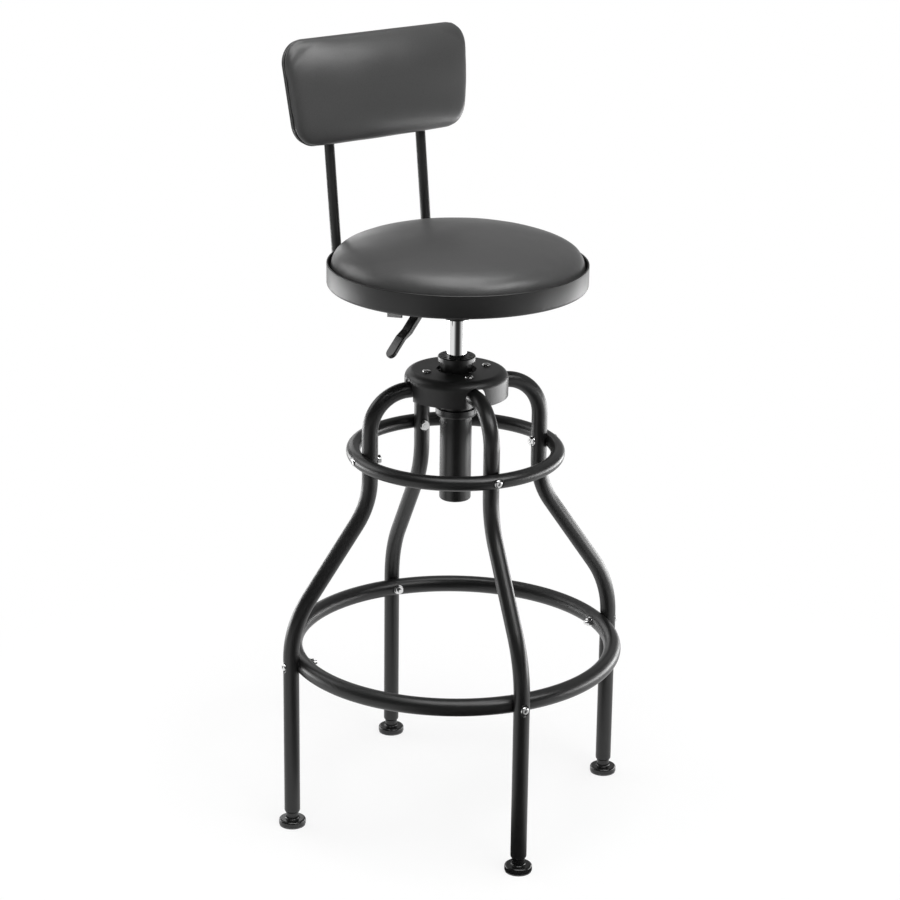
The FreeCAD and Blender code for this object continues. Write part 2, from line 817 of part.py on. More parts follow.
def make_valve_body():
    hole = pin_diameter / 2 + running_fit
    return ring_solid(lift_bore - running_fit, hole, lift_top - valve_length, lift_top)


def make_release_pin():
    top = lift_top + pin_height
    pin = cylinder(pin_diameter / 2, top - pin_length, top)
    return rounded_at(pin, pin_edge_round, top, pin_diameter / 2)


# Seat mechanism

def make_mechanism_plate():
    plate = block(-plate_half_width, plate_half_width, plate_front, plate_back, plate_bottom, board_bottom)

    def upright(edge):
        return edge.BoundBox.ZLength > plate_thickness / 2
    plate = rounded(plate, plate_corner, upright)
    ear = prism(
        [
            Vector(-plate_half_width, ear_front, plate_bottom),
            Vector(-plate_half_width, ear_front, plate_bottom - ear_front_drop),
            Vector(-plate_half_width, ear_back, plate_bottom - ear_back_drop),
            Vector(-plate_half_width, ear_back, plate_bottom),
        ],
        Vector(ear_thickness, 0, 0),
    )
    hole_height = plate_bottom - ear_front_drop + 2 * ear_hole
    hole_place = Vector(-plate_half_width - 1, ear_front + ear_hole, hole_height)
    ear = ear.cut(Part.makeCylinder(ear_hole / 2, ear_thickness + 2, hole_place, Vector(1, 0, 0)))
    lever_ear = make_lever_ear()
    pieces = [ear, mirrored(ear), lever_ear, lever_ear.mirror(Vector(0, 0, 0), Vector(0, 1, 0))]
    plate = plate.fuse(pieces).removeSplitter()
    plate = plate.cut(cylinder(plate_hole / 2, plate_bottom - 1, board_bottom + 1))
    for x, y in seat_bolt_places():
        hole = cylinder(seat_bolt / 2 + bolt_clearance, plate_bottom - 1, board_bottom + 1)
        plate = plate.cut(moved(hole, Vector(x, y, 0)))
    return plate


def make_lever_ear():
    near = lever_bar_width / 2 + lever_ear_gap
    ear = block(-lever_throw - lever_ear_half_width, -taper_socket_radius - seat_gap, near,
                near + lever_ear_thickness, plate_bottom - lever_ear_drop, plate_bottom)
    return ear.cut(crossbar(lever_pin / 2 + running_fit, -lever_throw, pivot_height, near + 10))


def seat_bolt_places():
    places = []
    for side in (-1, 1):
        places.append((side * plate_bolt_x, plate_bolt_front))
        places.append((side * plate_bolt_x, plate_bolt_back))
        for y in post_saddle_places:
            places.append((side * post_half_spacing, y))
    return places


def make_taper_socket():
    radius = taper_socket_radius
    bore = lift_radius + running_fit
    above_taper_start = taper_socket_bottom - lift_top + lift_taper_length
    lost = lift_taper * above_taper_start / lift_taper_length
    corners = [
        Vector(bore - lost, 0, taper_socket_bottom),
        Vector(radius, 0, taper_socket_bottom),
        Vector(radius, 0, plate_bottom),
        Vector(bore, 0, plate_bottom),
        Vector(bore, 0, lift_top),
        Vector(bore - lift_taper, 0, lift_top),
    ]
    socket = turned(Part.makePolygon(corners + [corners[0]]).Edges)
    socket = rounded_at(socket, taper_socket_round, taper_socket_bottom, radius)
    half = lever_bar_width / 2 + lever_window_gap
    return socket.cut(block(-radius - 1, 0, -half, half, lift_top + lever_window_rise, plate_bottom - 1))


def on_lever(shape):
    # Places a piece drawn along +X from the bend, level, on the drooping part of the lever.
    copy = shape.copy()
    copy.rotate(Vector(0, 0, 0), Vector(0, 0, 1), 180)
    copy.rotate(Vector(0, 0, 0), Vector(0, 1, 0), -lever_droop)
    copy.translate(Vector(-lever_bend, 0, pivot_height))
    return copy


def make_lever_arm():
    half_width = lever_bar_width / 2
    half = lever_bar_thickness / 2
    level = block(-lever_bend, lever_bar_end, -half_width, half_width,
                  pivot_height - half, pivot_height + half)
    knee = crossbar(half, -lever_bend, pivot_height, half_width)
    drooping = on_lever(block(0, lever_bar_reach, -half_width, half_width, -half, half))
    barrel = crossbar(lever_barrel / 2, -lever_throw, pivot_height, half_width)
    arm = level.fuse([knee, drooping, barrel]).removeSplitter()
    return arm.cut(crossbar(lever_pin / 2 + running_fit, -lever_throw, pivot_height, half_width + 1))


def make_lever_pivot_pin():
    half_length = lever_bar_width / 2 + lever_ear_gap + lever_ear_thickness + 1
    return crossbar(lever_pin / 2, -lever_throw, pivot_height, half_length)


def make_lever_handle():
    # The side view and the top view of the handle, each drawn through, meet in its shape.
    neck_top = handle_thickness / 2
    paddle_top = paddle_rise + paddle_thickness / 2
    paddle_low = paddle_top - paddle_thickness
    neck_half = handle_width / 2
    paddle_half = paddle_width / 2
    paddle_start = handle_neck_end + paddle_ramp
    tip_start = handle_end - paddle_half
    side_view = prism(
        [
            Vector(handle_start, -paddle_width, neck_top),
            Vector(handle_neck_end, -paddle_width, neck_top),
            Vector(paddle_start, -paddle_width, paddle_top),
            Vector(handle_end + 1, -paddle_width, paddle_top),
            Vector(handle_end + 1, -paddle_width, paddle_low),
            Vector(paddle_start, -paddle_width, paddle_low),
            Vector(handle_neck_end, -paddle_width, -neck_top),
            Vector(handle_start, -paddle_width, -neck_top),
        ],
        Vector(0, 2 * paddle_width, 0),
    )
    below = -handle_thickness
    left = [
        Vector(handle_start, -neck_half, below),
        Vector(handle_neck_end, -neck_half, below),
        Vector(paddle_start, -paddle_half, below),
        Vector(tip_start, -paddle_half, below),
    ]
    right = [Vector(point.x, -point.y, point.z) for point in reversed(left)]
    edges = [Part.makeLine(*pair) for pair in zip(left, left[1:])]
    edges.append(Part.Arc(left[-1], Vector(handle_end, 0, below), right[0]).toShape())
    edges += [Part.makeLine(*pair) for pair in zip(right, right[1:])]
    edges.append(Part.makeLine(right[-1], left[0]))
    top_view = Part.Face(Part.Wire(edges)).extrude(Vector(0, 0, 3 * handle_thickness))
    handle = side_view.common(top_view)

    def outline_edge(edge):
        box = edge.BoundBox
        upright = box.ZLength > box.XLength + box.YLength
        return not upright or box.XMax < handle_start + 1
    handle = rounded(handle, handle_round, outline_edge)
    half = lever_bar_thickness / 2 + running_fit
    half_width = lever_bar_width / 2 + running_fit
    slot = block(handle_start - 1, lever_bar_reach + running_fit, -half_width, half_width, -half, half)
    return on_lever(handle.cut(slot))


# Seat

def make_seat_rim():
    outside = cylinder(rim_radius, rim_bottom, rim_top)
    outside = rounded_at(outside, rim_bottom_round, rim_bottom, rim_radius)
    outside = rounded_at(outside, rim_top_round, rim_top, rim_radius)
    inside_radius = rim_radius - rim_wall
    hollow = cylinder(inside_radius, board_bottom, rim_top + 1)
    hollow = rounded_at(hollow, rim_bottom_round - rim_wall, board_bottom, inside_radius)
    return outside.cut(hollow).cut(cylinder(rim_radius - rim_flange_width, rim_bottom - 1, rim_top))


def make_seat_board():
    def lower_edge(edge):
        return level_circle(edge, board_bottom)
    board = cylinder(board_radius, board_bottom, board_top)
    board = board.makeChamfer(board_chamfer, [edge for edge in board.Edges if lower_edge(edge)])
    for x, y in seat_bolt_places():
        hole = cylinder(tee_nut_body / 2 + running_fit, board_bottom - 1, board_top + 1)
        counterbore = cylinder(tee_nut_flange / 2 + running_fit,
                               board_top - tee_nut_flange_height, board_top + 1)
        board = board.cut(moved(hole, Vector(x, y, 0)))
        board = board.cut(moved(counterbore, Vector(x, y, 0)))
    return board


def make_tee_nuts():
    flange = cylinder(tee_nut_flange / 2, board_top - tee_nut_flange_height, board_top)
    body = cylinder(tee_nut_body / 2, board_top - tee_nut_length, board_top)
    nut = flange.fuse(body).removeSplitter()
    nut = nut.cut(cylinder(seat_bolt / 2 + running_fit, board_bottom, board_top + 1))
    return Part.makeCompound([moved(nut, Vector(x, y, 0)) for x, y in seat_bolt_places()])


def seat_bolt_under(seat_height):
    length = board_top - 1 - seat_height
    bolt = button_bolt(seat_bolt, length, seat_bolt_head, seat_bolt_head_height,
                       ring_bolt_socket, ring_bolt_socket_depth)
    bolt.rotate(Vector(0, 0, 0), Vector(1, 0, 0), 180)
    return moved(bolt, Vector(0, 0, seat_height))


def make_plate_bolts():
    bolt = seat_bolt_under(plate_bottom)
    bolts = []
    for x in (-plate_bolt_x, plate_bolt_x):
        for y in (plate_bolt_front, plate_bolt_back):
            bolts.append(moved(bolt, Vector(x, y, 0)))
    return Part.makeCompound(bolts)


def make_seat_cushion():
    shoulder_radius = cushion_radius - cushion_shoulder_inset
    sag = cushion_height - cushion_shoulder_height
    crown_radius = (shoulder_radius ** 2 + sag ** 2) / (2 * sag)
    half_way = shoulder_radius / 2
    half_drop = crown_radius - math.sqrt(crown_radius ** 2 - half_way ** 2)
    centre = Vector(0, 0, cushion_bottom)
    foot = Vector(cushion_radius - cushion_foot_inset, 0, cushion_bottom)
    drawn_in = Vector(cushion_radius - cushion_side_bulge, 0, board_top + cushion_side_height / 2)
    side = Vector(cushion_radius, 0, board_top + cushion_side_height)
    roll = Vector(cushion_radius - cushion_roll_inset, 0, board_top + cushion_roll_height)
    shoulder = Vector(shoulder_radius, 0, board_top + cushion_shoulder_height)
    crown = Vector(half_way, 0, board_top + cushion_height - half_drop)
    top = Vector(0, 0, board_top + cushion_height)
    edges = [
        Part.makeLine(centre, foot),
        Part.Arc(foot, drawn_in, side).toShape(),
        Part.Arc(side, roll, shoulder).toShape(),
        Part.Arc(shoulder, crown, top).toShape(),
        Part.makeLine(top, centre),
    ]
    return turned(edges)


# Back posts

def post_offset(height):
    return post_offset_at_back_level + (height - back_level) * math.tan(lean)


def in_back_frame(shape):
    # Turns a piece drawn upright on the line of the posts to its leaning place.
    copy = shape.copy()
    copy.rotate(Vector(0, 0, 0), Vector(1, 0, 0), -post_lean)
    copy.translate(Vector(0, post_offset_at_back_level, back_level))
    return copy


def back_frame_point(x, along, forward):
    return Vector(
        x,
        post_offset_at_back_level + along * math.sin(lean) - forward * math.cos(lean),
        back_level + along * math.cos(lean) + forward * math.sin(lean),
    )


def post_path():
    return bent_path(
        [
            Vector(post_half_spacing, post_run_front, post_run_height),
            Vector(post_half_spacing, post_offset(post_run_height), post_run_height),
            back_frame_point(post_half_spacing, post_top, 0),
        ],
        [post_bend],
    )


def make_back_post():
    backward = Vector(0, math.cos(lean), -math.sin(lean))
    presses = []
    for y in post_saddle_places:
        presses.append(pressed_cup(Vector(post_half_spacing, y, post_bolt_seat), Vector(0, 0, -1)))
    for offset in back_screw_places:
        place = back_frame_point(post_half_spacing, back_centre + offset, -post_screw_seat)
        presses.append(pressed_cup(place, backward))
    path = post_path()
    post = pressed_tube(swept(path, post_radius), swept(path, post_radius - post_wall), presses, post_wall)
    for y in post_saddle_places:
        hole = cylinder(seat_bolt / 2 + bolt_clearance,
                        post_run_height - post_tube, post_run_height + post_tube)
        post = post.cut(moved(hole, Vector(post_half_spacing, y, 0)))
    for offset in back_screw_places:
        start = back_frame_point(post_half_spacing, back_centre + offset, post_tube)
        post = post.cut(Part.makeCylinder(back_screw / 2 + bolt_clearance, 2 * post_tube, start, backward))
    return post


def make_post_caps():
    radius = post_radius - post_wall - running_fit
    stem = cylinder(radius, -post_cap_length, 0)
    cap = stem.fuse(cylinder(post_radius, 0, post_cap_head)).removeSplitter()
    cap = rounded_at(cap, post_cap_head * pan_round, post_cap_head, post_radius)
    upper = in_back_frame(moved(cap, Vector(post_half_spacing, 0, post_top)))
    front = cap.copy()
    front.rotate(Vector(0, 0, 0), Vector(1, 0, 0), 90)
    front.translate(Vector(post_half_spacing, post_run_front, post_run_height))
    return Part.makeCompound([upper, front, mirrored(upper), mirrored(front)])


def make_post_saddles():
    low = post_run_height + post_radius - saddle_grip
    saddle = cylinder(saddle_diameter / 2, low, plate_bottom)
    groove = Part.makeCylinder(post_radius + running_fit, 2 * saddle_diameter,
                               Vector(0, -saddle_diameter, post_run_height), Vector(0, 1, 0))
    hole = cylinder(seat_bolt / 2 + bolt_clearance, low - 1, plate_bottom + 1)
    saddle = saddle.cut(groove).cut(hole)
    saddles = []
    for x in (-post_half_spacing, post_half_spacing):
        for y in post_saddle_places:
            saddles.append(moved(saddle, Vector(x, y, 0)))
    return Part.makeCompound(saddles)


def make_post_bolts():
    bolt = seat_bolt_under(post_bolt_seat)
    bolts = []
    for x in (-post_half_spacing, post_half_spacing):
        for y in post_saddle_places:
            bolts.append(moved(bolt, Vector(x, y, 0)))
    return Part.makeCompound(bolts)


# Backrest, drawn upright with its front towards -Y, then leaned with the posts

def back_outline(inset, y):
    low = back_centre - back_height / 2 + inset
    high = back_centre + back_height / 2 - inset
    bottom = back_bottom_width / 2 - inset
    top = back_top_width / 2 - inset
    smallest = 8.0
    bottom_corner = max(back_bottom_corner - inset, smallest)
    top_corner = max(back_top_corner - inset, smallest)
    middle_low = Vector(0, y, low)
    path = bent_path(
        [
            middle_low,
            Vector(bottom, y, low),
            Vector(top, y, high),
            Vector(-top, y, high),
            Vector(-bottom, y, low),
            middle_low,
        ],
        [bottom_corner, top_corner, top_corner, bottom_corner],
    )
    return Part.Wire(path.Edges)


def make_backrest_board():
    face = Part.Face(back_outline(back_board_inset, board_front))
    board = face.extrude(Vector(0, back_board_thickness, 0))
    for x in (-post_half_spacing, post_half_spacing):
        for offset in back_screw_places:
            place = Vector(x, board_back - back_screw_bite, back_centre + offset)
            board = board.cut(Part.makeCylinder(back_screw / 2, back_screw_bite + 1, place, Vector(0, 1, 0)))
    return in_back_frame(board)


def make_backrest_cushion():
    front = back_cushion_back - back_cushion_thickness
    body = Part.Face(back_outline(0, back_cushion_back)).extrude(Vector(0, -2 * back_cushion_thickness, 0))
    # The crown is an egg-shaped dome whose half width and half height are twice those of the cushion.
    depth = back_cushion_crown / (1 - math.sqrt(0.75))
    stretch = FreeCAD.Matrix()
    stretch.scale(Vector(back_top_width, depth, back_height))
    dome = Part.makeSphere(1.0).transformGeometry(stretch)
    cushion = body.common(moved(dome, Vector(0, front + depth, back_centre)))

    def back_edge(edge):
        return abs(edge.BoundBox.YMin - back_cushion_back) < 0.01

    def front_edge(edge):
        on_crown = edge.BoundBox.YMax < back_cushion_back - back_cushion_back_roll
        return on_crown and edge.BoundBox.YLength < back_cushion_crown
    cushion = rounded(cushion, back_cushion_front_roll, front_edge)
    return in_back_frame(rounded(cushion, back_cushion_back_roll, back_edge))


def make_backrest_screws():
    length = post_screw_seat + post_radius + back_screw_bite
    screw = button_bolt(back_screw, length, back_screw_head, back_screw_head_height,
                        back_screw_socket, back_screw_socket_depth)
    screw.rotate(Vector(0, 0, 0), Vector(1, 0, 0), -90)
    screws = []
    for x in (-post_half_spacing, post_half_spacing):
        for offset in back_screw_places:
            screws.append(in_back_frame(moved(screw, Vector(x, post_screw_seat, back_centre + offset))))
    return Part.makeCompound(screws)


# All pieces by name

pieces = {}

for index, leg in enumerate(around_base(make_leg())):
    pieces[f"leg_{index + 1}"] = leg
for index in range(leg_count):
    angle = base_turn + leg_pitch * index
    place = Vector(leg_foot_radius, 0, 0)
    pieces[f"foot_pad_{index + 1}"] = spun(moved(make_foot_pad(), place), angle)
    pieces[f"foot_sole_{index + 1}"] = spun(moved(make_foot_sole(), place), angle)
    pieces[f"foot_stem_{index + 1}"] = spun(moved(make_foot_stem(), place), angle)

pieces["leg_plugs"] = make_leg_plugs()
pieces["upper_ring"] = make_upper_ring()
pieces["foot_ring"] = make_foot_ring()
pieces["upper_ring_bolts"] = make_ring_bolts(
    upper_head_seat, upper_nut_seat, upper_ring_height, upper_bolt_tip
)
pieces["upper_ring_nuts"] = make_ring_nuts(upper_nut_seat, upper_ring_height)
pieces["foot_ring_bolts"] = make_ring_bolts(
    foot_head_seat, foot_nut_seat, foot_ring_height, foot_bolt_tip
)
pieces["foot_ring_nuts"] = make_ring_nuts(foot_nut_seat, foot_ring_height)
pieces["hub_housing"] = make_hub_housing()
pieces["hub_screws"] = make_hub_screws()
pieces["leg_inserts"] = make_leg_inserts()
pieces["column_socket"] = make_column_socket()
pieces["column_tube"] = make_column_tube()
pieces["guide_bushing"] = make_guide_bushing()
pieces["lower_thrust_washer"] = make_thrust_washer(base_top)
pieces["bearing_balls"] = make_bearing_balls()
pieces["ball_cage"] = make_ball_cage()
pieces["upper_thrust_washer"] = make_thrust_washer(upper_washer_bottom)
pieces["piston_rod"] = make_piston_rod()
pieces["retaining_clip"] = make_retaining_clip()
pieces["rubber_bumper"] = make_rubber_bumper()
pieces["piston"] = make_piston()
pieces["lift_tube"] = make_lift_tube()
pieces["lift_seal"] = make_lift_seal()
pieces["valve_body"] = make_valve_body()
pieces["release_pin"] = make_release_pin()
pieces["mechanism_plate"] = make_mechanism_plate()
pieces["taper_socket"] = make_taper_socket()
pieces["lever_arm"] = make_lever_arm()
pieces["lever_pivot_pin"] = make_lever_pivot_pin()
pieces["lever_handle"] = make_lever_handle()
pieces["seat_rim"] = make_seat_rim()
pieces["seat_board"] = make_seat_board()
pieces["tee_nuts"] = make_tee_nuts()
pieces["plate_bolts"] = make_plate_bolts()
pieces["seat_cushion"] = make_seat_cushion()
pieces["back_post_left"] = make_back_post()
pieces["back_post_right"] = mirrored(make_back_post())
pieces["post_caps"] = make_post_caps()
pieces["post_saddles"] = make_post_saddles()
pieces["post_bolts"] = make_post_bolts()
pieces["backrest_board"] = make_backrest_board()
pieces["backrest_cushion"] = make_backrest_cushion()
pieces["backrest_screws"] = make_backrest_screws()

for name, shape in pieces.items():
    shape.exportStep(f"parts/{name}.step")
    print(f"{name:22s} solids {len(shape.Solids)}  valid {shape.isValid()}  volume {shape.Volume:12.1f}")
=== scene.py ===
import json
import math

import bmesh
import bpy
from mathutils import Matrix, Quaternion, Vector, noise


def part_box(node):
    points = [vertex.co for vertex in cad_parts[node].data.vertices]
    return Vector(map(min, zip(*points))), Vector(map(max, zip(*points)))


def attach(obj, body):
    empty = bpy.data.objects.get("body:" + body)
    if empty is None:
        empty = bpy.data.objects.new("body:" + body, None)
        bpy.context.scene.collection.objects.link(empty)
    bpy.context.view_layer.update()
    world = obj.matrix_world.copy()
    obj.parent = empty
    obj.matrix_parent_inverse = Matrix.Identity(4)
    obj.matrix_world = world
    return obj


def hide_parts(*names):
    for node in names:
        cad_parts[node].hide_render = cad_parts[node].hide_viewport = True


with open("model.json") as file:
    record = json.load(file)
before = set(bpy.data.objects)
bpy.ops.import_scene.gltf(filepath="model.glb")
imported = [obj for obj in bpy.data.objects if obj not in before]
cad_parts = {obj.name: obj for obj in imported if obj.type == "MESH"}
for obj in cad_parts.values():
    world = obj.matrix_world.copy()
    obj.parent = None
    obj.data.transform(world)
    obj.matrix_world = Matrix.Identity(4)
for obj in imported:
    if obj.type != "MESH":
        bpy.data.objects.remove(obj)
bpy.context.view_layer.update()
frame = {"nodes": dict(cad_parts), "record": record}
print("frame loaded:", len(frame["nodes"]), "nodes")

# Machinist stool: black powder-coated tubes, a chrome gas lift and charcoal vinyl pads.
# Metres, +Z up, and the sitter faces -Y.

# Small helpers for modelling

meshValues = {
    "merge": 0.00001,        # points closer than this are one, on a copy of a CAD solid
    "spinMerge": 0.000005,   # and on a spun ring
    "samePlace": 0.0000001,
}


def addObject(name, data):
    made = bpy.data.objects.new(name, data)
    bpy.context.scene.collection.objects.link(made)
    return made


def deselectAll():
    if bpy.context.mode != "OBJECT":
        bpy.ops.object.mode_set(mode="OBJECT")
    bpy.ops.object.select_all(action="DESELECT")


def activate(piece):
    deselectAll()
    piece.select_set(True)
    bpy.context.view_layer.objects.active = piece


def editStart(piece, kind="VERT"):
    activate(piece)
    bpy.ops.object.mode_set(mode="EDIT")
    bpy.ops.mesh.select_mode(type=kind)
    bpy.ops.mesh.select_all(action="DESELECT")


def editEnd():
    bpy.ops.object.mode_set(mode="OBJECT")


def pick(kind, wanted):
    # in edit mode: selects the verts, edges or faces for which wanted(element) is true
    mesh = bmesh.from_edit_mesh(bpy.context.object.data)
    mesh.verts.ensure_lookup_table()
    for element in getattr(mesh, kind):
        element.select_set(bool(wanted(element)))
    mesh.select_flush_mode()
    bmesh.update_edit_mesh(bpy.context.object.data)


def modify(piece, kind, **values):
    modifier = piece.modifiers.new(kind.title(), kind)
    for key, value in values.items():
        setattr(modifier, key, value)
    activate(piece)
    bpy.ops.object.modifier_apply(modifier=modifier.name)


def smooth(piece, degrees=35):
    activate(piece)
    bpy.ops.object.shade_smooth_by_angle(angle=math.radians(degrees))


def settle(piece, name, material, body, replaced=()):
    # the place goes into the mesh, and the piece gets its finish and its body
    activate(piece)
    bpy.ops.object.transform_apply(location=True, rotation=True, scale=True)
    piece.name = name
    piece.data.name = name
    piece.data.materials.clear()
    piece.data.materials.append(material)
    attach(piece, body)
    if replaced:
        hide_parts(*replaced)


def copyOfNode(name):
    # a node's mesh, joined up from its loose triangles, as a new object
    copy = addObject(name + "Copy", frame["nodes"][name].data.copy())
    editStart(copy)
    bpy.ops.mesh.select_all(action="SELECT")
    bpy.ops.mesh.remove_doubles(threshold=meshValues["merge"])
    editEnd()
    return copy


def profileSpin(points, steps):
    # draws a closed outline of (radius, height) points and spins it into a ring
    bpy.ops.mesh.primitive_plane_add(size=0.001)
    piece = bpy.context.object
    bpy.ops.object.mode_set(mode="EDIT")
    bpy.ops.mesh.select_mode(type="VERT")
    bpy.ops.mesh.select_all(action="SELECT")
    bpy.ops.mesh.merge(type="CENTER")
    places = [Vector((radius, 0, height)) for radius, height in points]
    bpy.ops.transform.translate(value=places[0])
    for before, after in zip(places, places[1:]):
        bpy.ops.mesh.extrude_region_move(TRANSFORM_OT_translate={"value": after - before})
    bpy.ops.mesh.select_all(action="SELECT")
    ends = (places[0], places[-1])
    pick("verts", lambda v: min((v.co - end).length for end in ends) < meshValues["samePlace"])
    bpy.ops.mesh.edge_face_add()
    bpy.ops.mesh.select_all(action="SELECT")
    bpy.ops.mesh.spin(steps=steps, angle=math.tau, center=(0, 0, 0), axis=(0, 0, 1))
    bpy.ops.mesh.select_all(action="SELECT")
    bpy.ops.mesh.remove_doubles(threshold=meshValues["spinMerge"])
    bpy.ops.mesh.normals_make_consistent(inside=False)
    editEnd()
    return piece


def arcPoints(centreX, centreY, radius, fromDegrees, toDegrees, count):
    points = []
    for index in range(count + 1):
        angle = math.radians(fromDegrees + (toDegrees - fromDegrees) * index / count)
        points.append((centreX + radius * math.cos(angle), centreY + radius * math.sin(angle)))
    return points


# Shader groups that several materials share


def newGroup(name, inputs):
    group = bpy.data.node_groups.new(name, "ShaderNodeTree")
    for label, kind, value in inputs:
        socket = group.interface.new_socket(name=label, in_out="INPUT", socket_type=kind)
        socket.default_value = value
    group.interface.new_socket(name="Color", in_out="OUTPUT", socket_type="NodeSocketColor")
    group.interface.new_socket(name="Roughness", in_out="OUTPUT", socket_type="NodeSocketFloat")
    group.interface.new_socket(name="Normal", in_out="OUTPUT", socket_type="NodeSocketVector")
    return group, group.nodes.new("NodeGroupInput"), group.nodes.new("NodeGroupOutput")


def node(tree, kind, values=None, **settings):
    made = tree.nodes.new(kind)
    for key, value in settings.items():
        setattr(made, key, value)
    for key, value in (values or {}).items():
        made.inputs[key].default_value = value
    return made


def wire(tree, source, output, target, entry):
    tree.links.new(source.outputs[output], target.inputs[entry])


def mathNode(tree, operation, first, second):
    # the output of a math node whose inputs are sockets or plain numbers
    made = node(tree, "ShaderNodeMath", operation=operation)
    for index, value in enumerate((first, second)):
        if isinstance(value, (int, float)):
            made.inputs[index].default_value = value
        else:
            tree.links.new(value, made.inputs[index])
    return made.outputs["Value"]


def powderCoatGroup():
    # fine orange peel, with slow drifts of tone and gloss
    group, entry, leave = newGroup("PowderCoat", [
        ("Color", "NodeSocketColor", (0.02, 0.02, 0.021, 1)),
        ("Drift", "NodeSocketFloat", 0.15),
        ("Roughness", "NodeSocketFloat", 0.45),
        ("Peel Size", "NodeSocketFloat", 900.0),
        ("Peel Depth", "NodeSocketFloat", 0.2),
    ])
    place = node(group, "ShaderNodeTexCoord")
    slow = node(group, "ShaderNodeTexNoise", {"Scale": 9.0, "Detail": 3.0, "Roughness": 0.55})
    fine = node(group, "ShaderNodeTexNoise", {"Detail": 2.0, "Roughness": 0.6})
    wire(group, place, "Object", slow, "Vector")
    wire(group, place, "Object", fine, "Vector")
    wire(group, entry, "Peel Size", fine, "Scale")
    spread = node(group, "ShaderNodeMapRange", {
        "From Min": 0.3, "From Max": 0.7, "To Min": -1.0, "To Max": 1.0})
    wire(group, slow, "Fac", spread, "Value")
    shift = mathNode(group, "MULTIPLY", spread.outputs["Result"], entry.outputs["Drift"])
    tone = node(group, "ShaderNodeVectorMath", operation="SCALE")
    wire(group, entry, "Color", tone, 0)
    group.links.new(mathNode(group, "ADD", shift, 1.0), tone.inputs["Scale"])
    wire(group, tone, "Vector", leave, "Color")
    glossShare = 0.35       # of the drift in tone
    dulled = mathNode(group, "MULTIPLY", shift, glossShare)
    rough = mathNode(group, "ADD", dulled, entry.outputs["Roughness"])
    group.links.new(rough, leave.inputs["Roughness"])
    bump = node(group, "ShaderNodeBump", {"Distance": 0.0002})
    wire(group, entry, "Peel Depth", bump, "Strength")
    wire(group, fine, "Fac", bump, "Height")
    wire(group, bump, "Normal", leave, "Normal")
    return group


def vinylGroup():
    # pebbled grain: small cells with creases between them, over pores and slow changes of gloss; painted
    # shade makes the creases darker
    group, entry, leave = newGroup("VinylGrain", [
        ("Color", "NodeSocketColor", (0.05, 0.05, 0.052, 1)),
        ("Crease Shade Color", "NodeSocketColor", (0.03, 0.03, 0.031, 1)),
        ("Roughness", "NodeSocketFloat", 0.5),
        ("Grain Size", "NodeSocketFloat", 700.0),
        ("Grain Depth", "NodeSocketFloat", 0.35),
    ])
    place = node(group, "ShaderNodeTexCoord")
    warp = node(group, "ShaderNodeTexNoise", {"Scale": 120.0, "Detail": 2.0})
    wire(group, place, "Object", warp, "Vector")
    bend = node(group, "ShaderNodeVectorMath", {1: (0.002, 0.002, 0.002)}, operation="MULTIPLY")
    wire(group, warp, "Color", bend, 0)
    where = node(group, "ShaderNodeVectorMath", operation="ADD")
    wire(group, place, "Object", where, 0)
    wire(group, bend, "Vector", where, 1)
    cells = node(group, "ShaderNodeTexVoronoi", {"Randomness": 0.9}, feature="SMOOTH_F1")
    wire(group, where, "Vector", cells, "Vector")
    wire(group, entry, "Grain Size", cells, "Scale")
    crease = node(group, "ShaderNodeMapRange", {"From Min": 0.25, "From Max": 0.75})
    wire(group, cells, "Distance", crease, "Value")
    pores = node(group, "ShaderNodeTexNoise", {"Scale": 2600.0, "Detail": 1.0})
    wire(group, place, "Object", pores, "Vector")
    poreShare = 0.25        # of the depth of a crease
    pitted = mathNode(group, "MULTIPLY", pores.outputs["Fac"], poreShare)
    relief = mathNode(group, "SUBTRACT", pitted, crease.outputs["Result"])
    # painted shade: the colour turns darker in the creases between the cells, where shade falls
    tone = node(group, "ShaderNodeMix", data_type="RGBA")
    wire(group, crease, "Result", tone, "Factor")
    group.links.new(entry.outputs["Color"], tone.inputs[6])
    group.links.new(entry.outputs["Crease Shade Color"], tone.inputs[7])
    group.links.new(tone.outputs[2], leave.inputs["Color"])
    slow = node(group, "ShaderNodeTexNoise", {"Scale": 14.0, "Detail": 3.0})
    wire(group, place, "Object", slow, "Vector")
    gloss = node(group, "ShaderNodeMapRange", {
        "From Min": 0.3, "From Max": 0.7, "To Min": -0.04, "To Max": 0.04})
    wire(group, slow, "Fac", gloss, "Value")
    rough = mathNode(group, "ADD", gloss.outputs["Result"], entry.outputs["Roughness"])
    group.links.new(rough, leave.inputs["Roughness"])
    bump = node(group, "ShaderNodeBump", {"Distance": 0.0003})
    wire(group, entry, "Grain Depth", bump, "Strength")
    group.links.new(relief, bump.inputs["Height"])
    wire(group, bump, "Normal", leave, "Normal")
    return group


